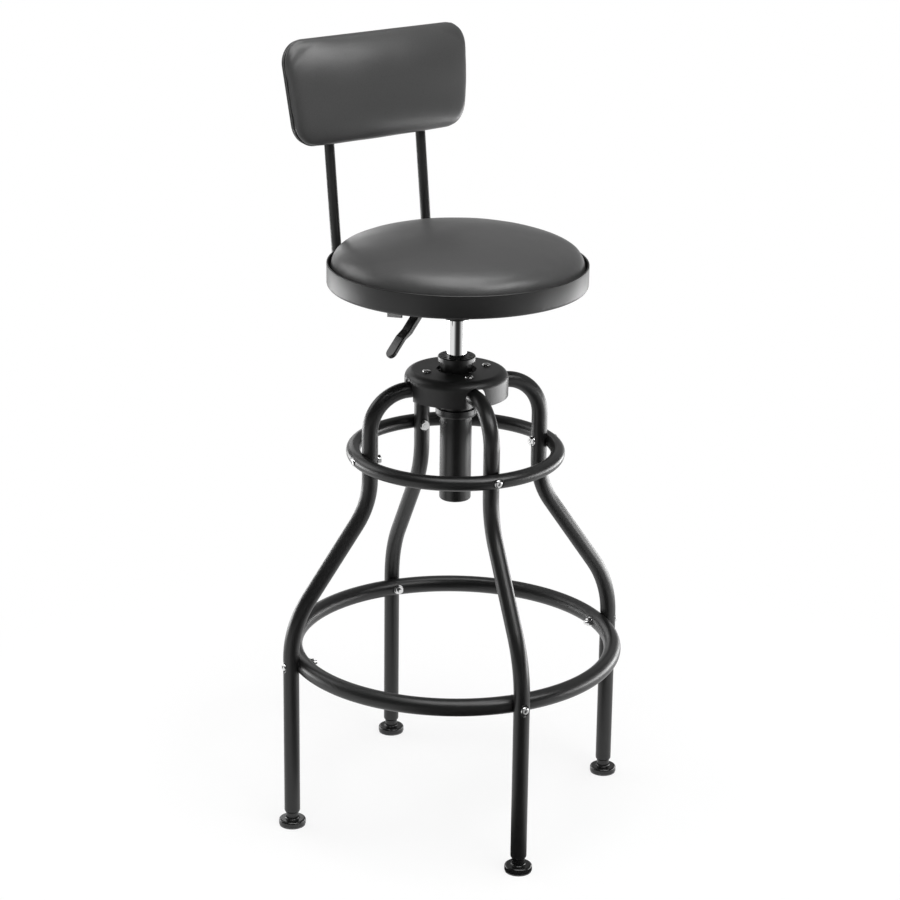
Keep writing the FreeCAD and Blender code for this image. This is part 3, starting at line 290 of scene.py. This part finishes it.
def turnedMetalGroup():
    # fine lines, as turning or drawing leaves and as wood has, stretched along the object's axes
    group, entry, leave = newGroup("TurnedMetal", [
        ("Color", "NodeSocketColor", (0.6, 0.6, 0.62, 1)),
        ("Roughness", "NodeSocketFloat", 0.2),
        ("Spread", "NodeSocketFloat", 0.08),
        ("Line Depth", "NodeSocketFloat", 0.1),
        ("Stretch", "NodeSocketVector", (300.0, 300.0, 3000.0)),
    ])
    place = node(group, "ShaderNodeTexCoord")
    scaled = node(group, "ShaderNodeVectorMath", operation="MULTIPLY")
    wire(group, place, "Object", scaled, 0)
    wire(group, entry, "Stretch", scaled, 1)
    lines = node(group, "ShaderNodeTexNoise", {"Scale": 1.0, "Detail": 3.0})
    wire(group, scaled, "Vector", lines, "Vector")
    aroundZero = mathNode(group, "SUBTRACT", lines.outputs["Fac"], 0.5)
    change = mathNode(group, "MULTIPLY", aroundZero, entry.outputs["Spread"])
    rough = mathNode(group, "ADD", change, entry.outputs["Roughness"])
    group.links.new(rough, leave.inputs["Roughness"])
    tone = node(group, "ShaderNodeVectorMath", operation="SCALE")
    wire(group, entry, "Color", tone, 0)
    group.links.new(mathNode(group, "ADD", change, 1.0), tone.inputs["Scale"])
    wire(group, tone, "Vector", leave, "Color")
    bump = node(group, "ShaderNodeBump", {"Distance": 0.0001})
    wire(group, entry, "Line Depth", bump, "Strength")
    wire(group, lines, "Fac", bump, "Height")
    wire(group, bump, "Normal", leave, "Normal")
    return group


powderCoat = powderCoatGroup()
vinylGrain = vinylGroup()
turnedMetal = turnedMetalGroup()


def makeMaterial(name, group, effectValues, shaderValues=None):
    # a material of one shared group in front of its own Principled BSDF
    material = bpy.data.materials.new(name)
    material.use_nodes = True
    tree = material.node_tree
    surface = tree.nodes["Principled BSDF"]
    for key, value in (shaderValues or {}).items():
        surface.inputs[key].default_value = value
    effect = tree.nodes.new("ShaderNodeGroup")
    effect.node_tree = group
    for key, value in effectValues.items():
        effect.inputs[key].default_value = value
    tree.links.new(effect.outputs["Color"], surface.inputs["Base Color"])
    tree.links.new(effect.outputs["Roughness"], surface.inputs["Roughness"])
    tree.links.new(effect.outputs["Normal"], surface.inputs["Normal"])
    return material


def grey(value, warmth=0.0):
    return (value * (1 + warmth), value, value * (1 - warmth), 1)


tubePaint = makeMaterial("tubePaint", powderCoat, {
    "Color": grey(0.008), "Drift": 0.12, "Roughness": 0.36, "Peel Size": 350.0, "Peel Depth": 0.003})
hubPaint = makeMaterial("hubPaint", powderCoat, {
    "Color": grey(0.010), "Drift": 0.15, "Roughness": 0.40, "Peel Size": 400.0, "Peel Depth": 0.03})
columnPaint = makeMaterial("columnPaint", powderCoat, {
    "Color": grey(0.008), "Drift": 0.1, "Roughness": 0.28, "Peel Size": 1200.0, "Peel Depth": 0.06})
rimPaint = makeMaterial("rimPaint", powderCoat, {
    "Color": grey(0.007), "Drift": 0.1, "Roughness": 0.42, "Peel Size": 500.0, "Peel Depth": 0.08})
mechanismPaint = makeMaterial("mechanismPaint", powderCoat, {
    "Color": grey(0.012), "Drift": 0.2, "Roughness": 0.5, "Peel Size": 600.0, "Peel Depth": 0.25})
blackNylon = makeMaterial("blackNylon", powderCoat, {
    "Color": grey(0.010), "Drift": 0.1, "Roughness": 0.3, "Peel Size": 1500.0, "Peel Depth": 0.1})
footPlastic = makeMaterial("footPlastic", powderCoat, {
    "Color": grey(0.008), "Drift": 0.1, "Roughness": 0.2, "Peel Size": 1500.0, "Peel Depth": 0.05})
naturalNylon = makeMaterial("naturalNylon", powderCoat, {
    "Color": grey(0.55, 0.04), "Drift": 0.05, "Roughness": 0.5, "Peel Size": 1500.0, "Peel Depth": 0.1})
soleRubber = makeMaterial("soleRubber", powderCoat, {
    "Color": grey(0.10), "Drift": 0.15, "Roughness": 0.7, "Peel Size": 1800.0, "Peel Depth": 0.3})
bumperRubber = makeMaterial("bumperRubber", powderCoat, {
    "Color": grey(0.02), "Drift": 0.15, "Roughness": 0.75, "Peel Size": 1800.0, "Peel Depth": 0.3})
backShell = makeMaterial("backShell", powderCoat, {
    "Color": grey(0.010), "Drift": 0.1, "Roughness": 0.5, "Peel Size": 1400.0, "Peel Depth": 0.3})
seatVinyl = makeMaterial("seatVinyl", vinylGrain, {
    # the crease colour is painted shade in the creases of the grain
    "Color": grey(0.046), "Crease Shade Color": grey(0.037), "Roughness": 0.37,
    "Grain Size": 900.0, "Grain Depth": 0.10})
chromePlate = makeMaterial("chromePlate", turnedMetal, {
    "Color": grey(0.72), "Roughness": 0.07, "Spread": 0.04, "Line Depth": 0.01,
    "Stretch": (200.0, 200.0, 4000.0)}, {"Metallic": 1.0})
zincPlate = makeMaterial("zincPlate", turnedMetal, {
    "Color": grey(0.75), "Roughness": 0.16, "Spread": 0.15, "Line Depth": 0.1,
    "Stretch": (900.0, 900.0, 900.0)}, {"Metallic": 1.0})
plainSteel = makeMaterial("plainSteel", turnedMetal, {
    "Color": grey(0.5), "Roughness": 0.3, "Spread": 0.15, "Line Depth": 0.15,
    "Stretch": (300.0, 300.0, 3000.0)}, {"Metallic": 1.0})
plywood = makeMaterial("plywood", turnedMetal, {
    "Color": (0.030, 0.025, 0.021, 1), "Roughness": 0.65, "Spread": 0.6, "Line Depth": 0.4,
    "Stretch": (12.0, 260.0, 700.0)})


seatBoardValues = {
    "hemWidth": 0.027,       # the seat's cover is folded that far in under the board
    "hemTone": 0.012,
    "hemBlur": 0.0005,       # to each side of its edge
}


def foldHem(material):
    # black shows on the board from the hem outwards
    values = seatBoardValues
    tree = material.node_tree
    surface = tree.nodes["Principled BSDF"]
    wood = surface.inputs["Base Color"].links[0].from_socket
    place = node(tree, "ShaderNodeTexCoord")
    flat = node(tree, "ShaderNodeVectorMath", {1: (1.0, 1.0, 0.0)}, operation="MULTIPLY")
    wire(tree, place, "Object", flat, 0)
    reach = node(tree, "ShaderNodeVectorMath", operation="LENGTH")
    wire(tree, flat, "Vector", reach, 0)
    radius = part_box("seat_board")[1].x - values["hemWidth"]
    edge = node(tree, "ShaderNodeMapRange", {
        "From Min": radius - values["hemBlur"], "From Max": radius + values["hemBlur"]})
    wire(tree, reach, "Value", edge, "Value")
    mix = node(tree, "ShaderNodeMix", data_type="RGBA")
    wire(tree, edge, "Result", mix, "Factor")
    tree.links.new(wood, mix.inputs[6])
    mix.inputs[7].default_value = grey(values["hemTone"])
    tree.links.new(mix.outputs[2], surface.inputs["Base Color"])


foldHem(plywood)
print("materials made")

slotMaterials = {
    "black_tube_paint": tubePaint,
    "black_hub_paint": hubPaint,
    "black_column_paint": columnPaint,
    "black_rim_paint": rimPaint,
    "black_mechanism_paint": mechanismPaint,
    "chrome": chromePlate,
    "zinc_fasteners": zincPlate,
    "steel": plainSteel,
    "bearing_steel": plainSteel,
    "black_nylon": blackNylon,
    "black_foot_plastic": footPlastic,
    "natural_nylon": naturalNylon,
    "sole_rubber": soleRubber,
    "bumper_rubber": bumperRubber,
    "seat_vinyl": seatVinyl,
    "plywood": plywood,
    "back_board": backShell,
}

for entry in frame["record"]["subparts"]:
    mesh = frame["nodes"][entry["node"]].data
    mesh.materials.clear()
    mesh.materials.append(slotMaterials[entry["material_slot"]])
print("CAD pieces painted")

# Cushions: each starts as its CAD solid, a little smaller, and is blown up by a cloth simulation

cushionValues = {
    "shrink": 0.001,
    "pressure": 4.0,
    "frames": 20,
    "quality": 5,
    "mass": 0.3,
    "stretchStiffness": 25,
    "bendStiffness": 5,
    "cap": 0.005,          # most that a point may move
    "smoothing": 4,
    "smoothingAfter": 12,
    "smoothingShare": 0.5,
    "ripple": 0.0005,      # slow unevenness of the cover
    "rippleSize": 0.055,
}


def puffed(nodeName, pinned, voxel):
    # the CAD solid as a cushion; pinned(point) is true where the cover is held down
    values = cushionValues
    pad = copyOfNode(nodeName)
    pad.data.remesh_voxel_size = voxel
    activate(pad)
    bpy.ops.object.voxel_remesh()
    editStart(pad)
    bpy.ops.mesh.select_all(action="SELECT")
    bpy.ops.transform.shrink_fatten(value=-values["shrink"])
    bpy.ops.mesh.vertices_smooth(factor=values["smoothingShare"], repeat=values["smoothing"])
    editEnd()
    start = [vertex.co.copy() for vertex in pad.data.vertices]
    held = pad.vertex_groups.new(name="held")
    held.add([index for index, point in enumerate(start) if pinned(point)], 1.0, "REPLACE")
    cloth = pad.modifiers.new("Cloth", "CLOTH")
    cloth.settings.quality = values["quality"]
    cloth.settings.mass = values["mass"]
    cloth.settings.tension_stiffness = values["stretchStiffness"]
    cloth.settings.compression_stiffness = values["stretchStiffness"]
    cloth.settings.bending_stiffness = values["bendStiffness"]
    cloth.settings.vertex_group_mass = "held"
    cloth.settings.use_pressure = True
    cloth.settings.uniform_pressure_force = values["pressure"]
    cloth.settings.effector_weights.gravity = 0
    cloth.collision_settings.use_collision = False
    scene = bpy.context.scene
    for step in range(1, values["frames"] + 1):
        scene.frame_set(step)
    shaped = pad.evaluated_get(bpy.context.evaluated_depsgraph_get()).to_mesh()
    moved = [vertex.co.copy() for vertex in shaped.vertices]
    pad.modifiers.remove(cloth)
    scene.frame_set(1)
    for vertex, before, after in zip(pad.data.vertices, start, moved):
        step = after - before
        if step.length > values["cap"]:
            step = step.normalized() * values["cap"]
        vertex.co = before + step
    editStart(pad)
    bpy.ops.mesh.select_all(action="SELECT")
    bpy.ops.mesh.vertices_smooth(factor=values["smoothingShare"], repeat=values["smoothingAfter"])
    editEnd()
    return pad


def ripple(pad):
    # the cover never lies quite even over its foam
    values = cushionValues
    normals = [vertex.normal.copy() for vertex in pad.data.vertices]
    for vertex, normal in zip(pad.data.vertices, normals):
        wave = noise.noise(vertex.co / values["rippleSize"])
        vertex.co += normal * wave * values["ripple"]


def fitToNode(pad, nodeName):
    # the pad fills the box of its CAD solid again
    low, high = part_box(nodeName)
    points = [vertex.co for vertex in pad.data.vertices]
    start = Vector([min(point[axis] for point in points) for axis in range(3)])
    end = Vector([max(point[axis] for point in points) for axis in range(3)])
    grow = [(high[axis] - low[axis]) / (end[axis] - start[axis]) for axis in range(3)]
    pad.data.transform(Matrix.Translation(low) @ Matrix.Diagonal(grow + [1.0]) @ Matrix.Translation(-start))


def coverPad(pad, name, replaced):
    # the last steps of both cushions
    ripple(pad)
    fitToNode(pad, replaced)
    modify(pad, "SUBSURF", levels=1, render_levels=1)
    settle(pad, name, seatVinyl, "seat", (replaced,))
    smooth(pad, 180)


seatCushionValues = {
    "voxel": 0.005,
    "heldTo": 0.004,         # height above its underside up to which the cover is held
    "fill": 0.9,
}


def makeSeatCushion():
    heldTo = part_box("seat_cushion")[0].z + seatCushionValues["heldTo"]
    pad = puffed("seat_cushion", lambda point: point.z < heldTo, seatCushionValues["voxel"])
    coverPad(pad, "seatCushion", "seat_cushion")


backrestValues = {
    "voxel": 0.004,
    "heldTo": 0.003,         # depth in front of the board up to which the cover is held
    "fill": 0.85,
    "crown": 0.30,           # share of the depth lost at the sides and the top
    "crownPower": 3.0,
    "weltRadius": 0.0013,
    "weltPlane": 0.00005,    # how far the joint's edges may lie off the board's front
    "weltTurn": 1.2,         # and how sharp they are at least, in radians
    "weltResolution": 3,
}


def boardFacing():
    # the direction in which the front of the back board looks, and a point on that front
    board = frame["nodes"]["backrest_board"].data
    facing = max((face for face in board.polygons if face.normal.y < -0.5), key=lambda face: face.area)
    return facing.normal.copy(), Vector(facing.center)


def crown(pad, facing, onBoard):
    # the foam thins towards the sides and the top, so the front swells like a pillow
    values = backrestValues
    across = Vector((1, 0, 0))
    upward = facing.cross(across).normalized()
    if upward.z < 0:
        upward = -upward
    offsets = [vertex.co - onBoard for vertex in pad.data.vertices]
    halfWide = max(abs(offset.dot(across)) for offset in offsets)
    heights = [offset.dot(upward) for offset in offsets]
    middle = (max(heights) + min(heights)) / 2
    halfTall = (max(heights) - min(heights)) / 2
    for vertex, offset, height in zip(pad.data.vertices, offsets, heights):
        sideways = abs(offset.dot(across)) / halfWide
        raised = max(height - middle, 0.0) / halfTall
        out = sideways ** values["crownPower"] + raised ** values["crownPower"]
        vertex.co -= facing * offset.dot(facing) * values["crown"] * min(out, 1.0)


def makeBackrestCushion():
    values = backrestValues
    facing, onBoard = boardFacing()

    def onTheBoard(point):
        return (point - onBoard).dot(facing) < values["heldTo"]

    pad = puffed("backrest_cushion", onTheBoard, values["voxel"])
    crown(pad, facing, onBoard)
    coverPad(pad, "backrestCushion", "backrest_cushion")


def makeBackrestWelt():
    # a thin bead of vinyl in the joint between the back board and the cushion
    values = backrestValues
    facing, onBoard = boardFacing()
    bead = copyOfNode("backrest_board")
    bead.name = "backrestBead"
    editStart(bead, "EDGE")

    def onOutline(edge):
        if len(edge.link_faces) != 2:
            return False
        turn = edge.link_faces[0].normal.angle(edge.link_faces[1].normal)
        inPlane = all(abs((v.co - onBoard).dot(facing)) < values["weltPlane"] for v in edge.verts)
        return inPlane and turn > values["weltTurn"]

    pick("edges", onOutline)
    bpy.ops.mesh.select_all(action="INVERT")
    bpy.ops.mesh.delete(type="EDGE")
    editEnd()
    bpy.ops.object.convert(target="CURVE")
    bead = bpy.context.object
    bead.data.bevel_depth = values["weltRadius"]
    bead.data.bevel_resolution = values["weltResolution"]
    bpy.ops.object.convert(target="MESH")
    bead = bpy.context.object
    settle(bead, "backrestWelt", seatVinyl, "seat")
    smooth(bead, 60)


makeSeatCushion()
makeBackrestCushion()
makeBackrestWelt()
print("cushions made")

# Seat rim: a pressed ring with a rounded lip and a folded-in lower flange

rimValues = {
    "wall": 0.0025,
    "flangeWidth": 0.0178,
    "flange": 0.002,
    "bottomRound": 0.005,
    "bottomFacets": 8,
    "innerFacets": 5,
    "lipRound": 0.00125,
    "lipFacets": 6,
    "steps": 192,
}


def makeSeatRim():
    values = rimValues
    low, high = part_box("seat_rim")
    radius = high.x
    wall = values["wall"]
    outer = values["bottomRound"]
    inner = outer - wall
    lip = values["lipRound"]
    lipSteps = values["lipFacets"]
    floor = low.z + values["flange"]
    flangeEdge = radius - values["flangeWidth"]
    points = [(flangeEdge, floor), (flangeEdge, low.z)]
    points += arcPoints(radius - outer, low.z + outer, outer, -90, 0, values["bottomFacets"])
    points += arcPoints(radius - lip, high.z - lip, lip, 0, 90, lipSteps)
    points += arcPoints(radius - wall + lip, high.z - lip, lip, 90, 180, lipSteps)
    points += arcPoints(radius - wall - inner, floor + inner, inner, 0, -90, values["innerFacets"])
    rim = profileSpin(points, values["steps"])
    settle(rim, "seatRim", rimPaint, "seat", ("seat_rim",))
    smooth(rim, 40)


makeSeatRim()
print("rim made")

# Camera, matched to the photograph

cameraValues = {
    "place": (-2.1507, -2.7291, 1.7065),
    "heading": 38.114,      # degrees clockwise from +Y
    "tilt": -18.709,
    "roll": 0.698,
    "lens": 106.03,
    "sensor": 36.0,
    "reach": 100,
}


def makeCamera():
    data = bpy.data.cameras.new("camera")
    data.lens = cameraValues["lens"]
    data.sensor_width = cameraValues["sensor"]
    data.clip_end = cameraValues["reach"]
    camera = addObject("camera", data)
    heading = math.radians(cameraValues["heading"])
    tilt = math.radians(cameraValues["tilt"])
    ahead = Vector((
        math.sin(heading) * math.cos(tilt),
        math.cos(heading) * math.cos(tilt),
        math.sin(tilt),
    ))
    camera.location = cameraValues["place"]
    camera.rotation_mode = "QUATERNION"
    roll = Quaternion((0, 0, 1), math.radians(cameraValues["roll"]))
    camera.rotation_quaternion = ahead.to_track_quat("-Z", "Y") @ roll
    bpy.context.scene.camera = camera


makeCamera()

# Studio: pale floor, white surroundings, soft boxes round the stool and overhead

studioValues = {
    "floorSize": 60.0,
    "floorColor": 0.86,
    "floorGlow": 0.8,           # share of plain white under the object
    "whiteFrom": 0.35,          # metres from the lift, where the floor turns plain white
    "whiteTo": 1.0,
    "fill": 0.3,                # light from all round on matt surfaces
    "mirrorBack": 0.35,         # what glossy surfaces see above the floor behind the object
    "mirrorFront": 0.03,        # and behind the camera
    "mirrorFrom": -0.25,        # where the one turns into the other, from -1 in front to 1 behind
    "mirrorTo": 0.35,
    "cardReach": 6.0,           # dark cloth on the floor in front, seen by glossy surfaces alone
    "cardLift": 0.0005,
    "cardTurn": 8.0,            # degrees right of the camera where it is darkest
    "cardDarkTo": 8.0,          # degrees to each side of that to which it stays so
    "cardWhiteFrom": 48.0,      # and where it is as white as the floor
    "boxes": [
        # name, degrees right of the camera, distance, lower edge, upper edge, width, brightness
        ("boxRight", 110.0, 1.7, 0.02, 0.43, 2.30, 8.0),
        ("boxLeft", -118.0, 1.7, 0.05, 0.50, 1.50, 6.2),
        ("boxLeftHigh", -113.0, 2.2, 1.2, 2.3, 1.50, 2.5),
        ("boxBackLeft", -161.0, 2.2, 0.70, 1.35, 0.80, 1.6),
        ("boxFront", 50.0, 2.4, 2.4, 4.0, 2.20, 8.0),
    ],
    "boxAbove": {"degrees": 0.0, "distance": 0.5, "height": 3.2, "aim": 0.8,
                 "size": (1.8, 2.6), "brightness": 4.6},
    "flagTone": 0.02,
    "flags": [
        # dark boards that keep the side light off the backrest
        # name, degrees right of the camera, distance, lower edge, upper edge, width
        ("flagRight", 96.0, 0.8, 0.585, 0.86, 1.2),
        ("flagLeft", -110.0, 1.0, 0.57, 0.82, 1.0),
    ],
}


def awayFromLift(degrees, distance, height):
    # a place round the lift, by its angle to the right of the camera
    turn = math.radians(cameraValues["heading"] + 180.0 - degrees)
    return Vector((distance * math.sin(turn), distance * math.cos(turn), height))


def mattMaterial(name, tone, roughness):
    material = bpy.data.materials.new(name)
    material.use_nodes = True
    surface = material.node_tree.nodes["Principled BSDF"]
    surface.inputs["Base Color"].default_value = grey(tone)
    surface.inputs["Roughness"].default_value = roughness
    surface.inputs["Specular IOR Level"].default_value = 0.0
    return material


def makeFloor():
    bpy.ops.mesh.primitive_plane_add(size=studioValues["floorSize"], location=(0, 0, 0))
    floor = bpy.context.object
    floor.name = "floor"
    material = mattMaterial("floorWhite", studioValues["floorColor"], 0.9)
    tree = material.node_tree
    white = node(tree, "ShaderNodeEmission", {"Color": (1, 1, 1, 1), "Strength": 1.0})
    place = node(tree, "ShaderNodeTexCoord")
    reach = node(tree, "ShaderNodeVectorMath", operation="LENGTH")
    wire(tree, place, "Object", reach, 0)
    fade = node(tree, "ShaderNodeMapRange", {
        "From Min": studioValues["whiteFrom"], "From Max": studioValues["whiteTo"],
        "To Min": studioValues["floorGlow"], "To Max": 1.0}, interpolation_type="SMOOTHSTEP")
    wire(tree, reach, "Value", fade, "Value")
    path = node(tree, "ShaderNodeLightPath")
    seen = mathNode(tree, "MAXIMUM", path.outputs["Is Camera Ray"], path.outputs["Is Glossy Ray"])
    seen = mathNode(tree, "MAXIMUM", seen, path.outputs["Is Transmission Ray"])
    share = mathNode(tree, "MULTIPLY", seen, fade.outputs["Result"])
    mix = node(tree, "ShaderNodeMixShader")
    tree.links.new(share, mix.inputs["Fac"])
    tree.links.new(tree.nodes["Principled BSDF"].outputs[0], mix.inputs[1])
    tree.links.new(white.outputs[0], mix.inputs[2])
    tree.links.new(mix.outputs[0], tree.nodes["Material Output"].inputs["Surface"])
    floor.data.materials.append(material)


def makeFrontCard():
    # keeps the white floor in front out of the paint and the chrome, as a black cloth does
    reach = studioValues["cardReach"]
    place = awayFromLift(0.0, reach / 2, studioValues["cardLift"])
    bpy.ops.mesh.primitive_plane_add(size=reach, location=place)
    card = bpy.context.object
    card.rotation_euler.z = -math.radians(cameraValues["heading"])
    bpy.ops.object.transform_apply(location=True, rotation=True, scale=True)
    card.name = "frontCard"
    material = bpy.data.materials.new("frontCard")
    material.use_nodes = True
    tree = material.node_tree
    tree.nodes.clear()
    coordinates = node(tree, "ShaderNodeTexCoord")
    flat = node(tree, "ShaderNodeVectorMath", {1: (1.0, 1.0, 0.0)}, operation="MULTIPLY")
    wire(tree, coordinates, "Object", flat, 0)
    way = node(tree, "ShaderNodeVectorMath", operation="NORMALIZE")
    wire(tree, flat, "Vector", way, 0)
    darkest = awayFromLift(studioValues["cardTurn"], 1.0, 0.0)
    ahead = node(tree, "ShaderNodeVectorMath", {1: darkest}, operation="DOT_PRODUCT")
    wire(tree, way, "Vector", ahead, 0)
    tone = node(tree, "ShaderNodeMapRange", {
        "From Min": math.cos(math.radians(studioValues["cardDarkTo"])),
        "From Max": math.cos(math.radians(studioValues["cardWhiteFrom"])),
        "To Min": studioValues["mirrorFront"], "To Max": 1.0}, interpolation_type="SMOOTHSTEP")
    wire(tree, ahead, "Value", tone, "Value")
    glow = node(tree, "ShaderNodeEmission", {"Color": (1, 1, 1, 1)})
    wire(tree, tone, "Result", glow, "Strength")
    out = node(tree, "ShaderNodeOutputMaterial")
    wire(tree, glow, "Emission", out, "Surface")
    card.data.materials.append(material)
    card.visible_camera = False
    card.visible_diffuse = False
    card.visible_transmission = False
    card.visible_shadow = False


def makeWorld():
    world = bpy.data.worlds.new("studio")
    bpy.context.scene.world = world
    world.use_nodes = True
    tree = world.node_tree
    tree.nodes.clear()
    out = node(tree, "ShaderNodeOutputWorld")
    plain = node(tree, "ShaderNodeBackground", {"Color": (1, 1, 1, 1), "Strength": 1.0})
    fill = node(tree, "ShaderNodeBackground", {"Color": (1, 1, 1, 1), "Strength": studioValues["fill"]})
    mirror = node(tree, "ShaderNodeBackground", {"Color": (1, 1, 1, 1)})
    aim = node(tree, "ShaderNodeVectorMath", {1: -awayFromLift(0.0, 1.0, 0.0)}, operation="DOT_PRODUCT")
    place = node(tree, "ShaderNodeTexCoord")
    wire(tree, place, "Generated", aim, 0)
    ramp = node(tree, "ShaderNodeMapRange", {
        "From Min": studioValues["mirrorFrom"], "From Max": studioValues["mirrorTo"],
        "To Min": studioValues["mirrorFront"], "To Max": studioValues["mirrorBack"]},
        interpolation_type="SMOOTHSTEP")
    wire(tree, aim, "Value", ramp, "Value")
    wire(tree, ramp, "Result", mirror, "Strength")
    path = node(tree, "ShaderNodeLightPath")
    glossy = node(tree, "ShaderNodeMixShader")
    wire(tree, path, "Is Glossy Ray", glossy, "Fac")
    tree.links.new(fill.outputs[0], glossy.inputs[1])
    tree.links.new(mirror.outputs[0], glossy.inputs[2])
    seen = mathNode(tree, "MAXIMUM", path.outputs["Is Camera Ray"], path.outputs["Is Transmission Ray"])
    choose = node(tree, "ShaderNodeMixShader")
    tree.links.new(seen, choose.inputs["Fac"])
    tree.links.new(glossy.outputs[0], choose.inputs[1])
    tree.links.new(plain.outputs[0], choose.inputs[2])
    tree.links.new(choose.outputs[0], out.inputs["Surface"])


def addBox(name, place, aimAt, size, brightness):
    # a soft box whose face is that many times as bright as plain white
    data = bpy.data.lights.new(name, "AREA")
    data.shape = "RECTANGLE"
    data.size, data.size_y = size
    data.energy = brightness * math.pi * size[0] * size[1]
    lamp = addObject(name, data)
    lamp.location = place
    lamp.rotation_mode = "QUATERNION"
    lamp.rotation_quaternion = (Vector(aimAt) - Vector(place)).to_track_quat("-Z", "Y")
    lamp.visible_camera = False


def makeLamps():
    for name, degrees, distance, low, high, width, brightness in studioValues["boxes"]:
        height = (low + high) / 2
        place = awayFromLift(degrees, distance, height)
        addBox(name, place, (0, 0, height), (width, high - low), brightness)
    above = studioValues["boxAbove"]
    place = awayFromLift(above["degrees"], above["distance"], above["height"])
    addBox("boxAbove", place, (0, 0, above["aim"]), above["size"], above["brightness"])


def makeFlags():
    black = mattMaterial("flagBlack", studioValues["flagTone"], 1.0)
    for name, degrees, distance, low, high, width in studioValues["flags"]:
        place = awayFromLift(degrees, distance, (low + high) / 2)
        bpy.ops.mesh.primitive_plane_add(size=1.0, location=place)
        flag = bpy.context.object
        flag.scale = (width, high - low, 1.0)
        flag.rotation_mode = "QUATERNION"
        flag.rotation_quaternion = Vector((place.x, place.y, 0.0)).to_track_quat("Z", "Y")
        flag.name = name
        flag.data.materials.append(black)
        flag.visible_camera = False
        flag.visible_transmission = False


makeFloor()
makeFrontCard()
makeWorld()
makeLamps()
makeFlags()
bpy.context.scene.view_settings.view_transform = "Standard"
print("studio ready")
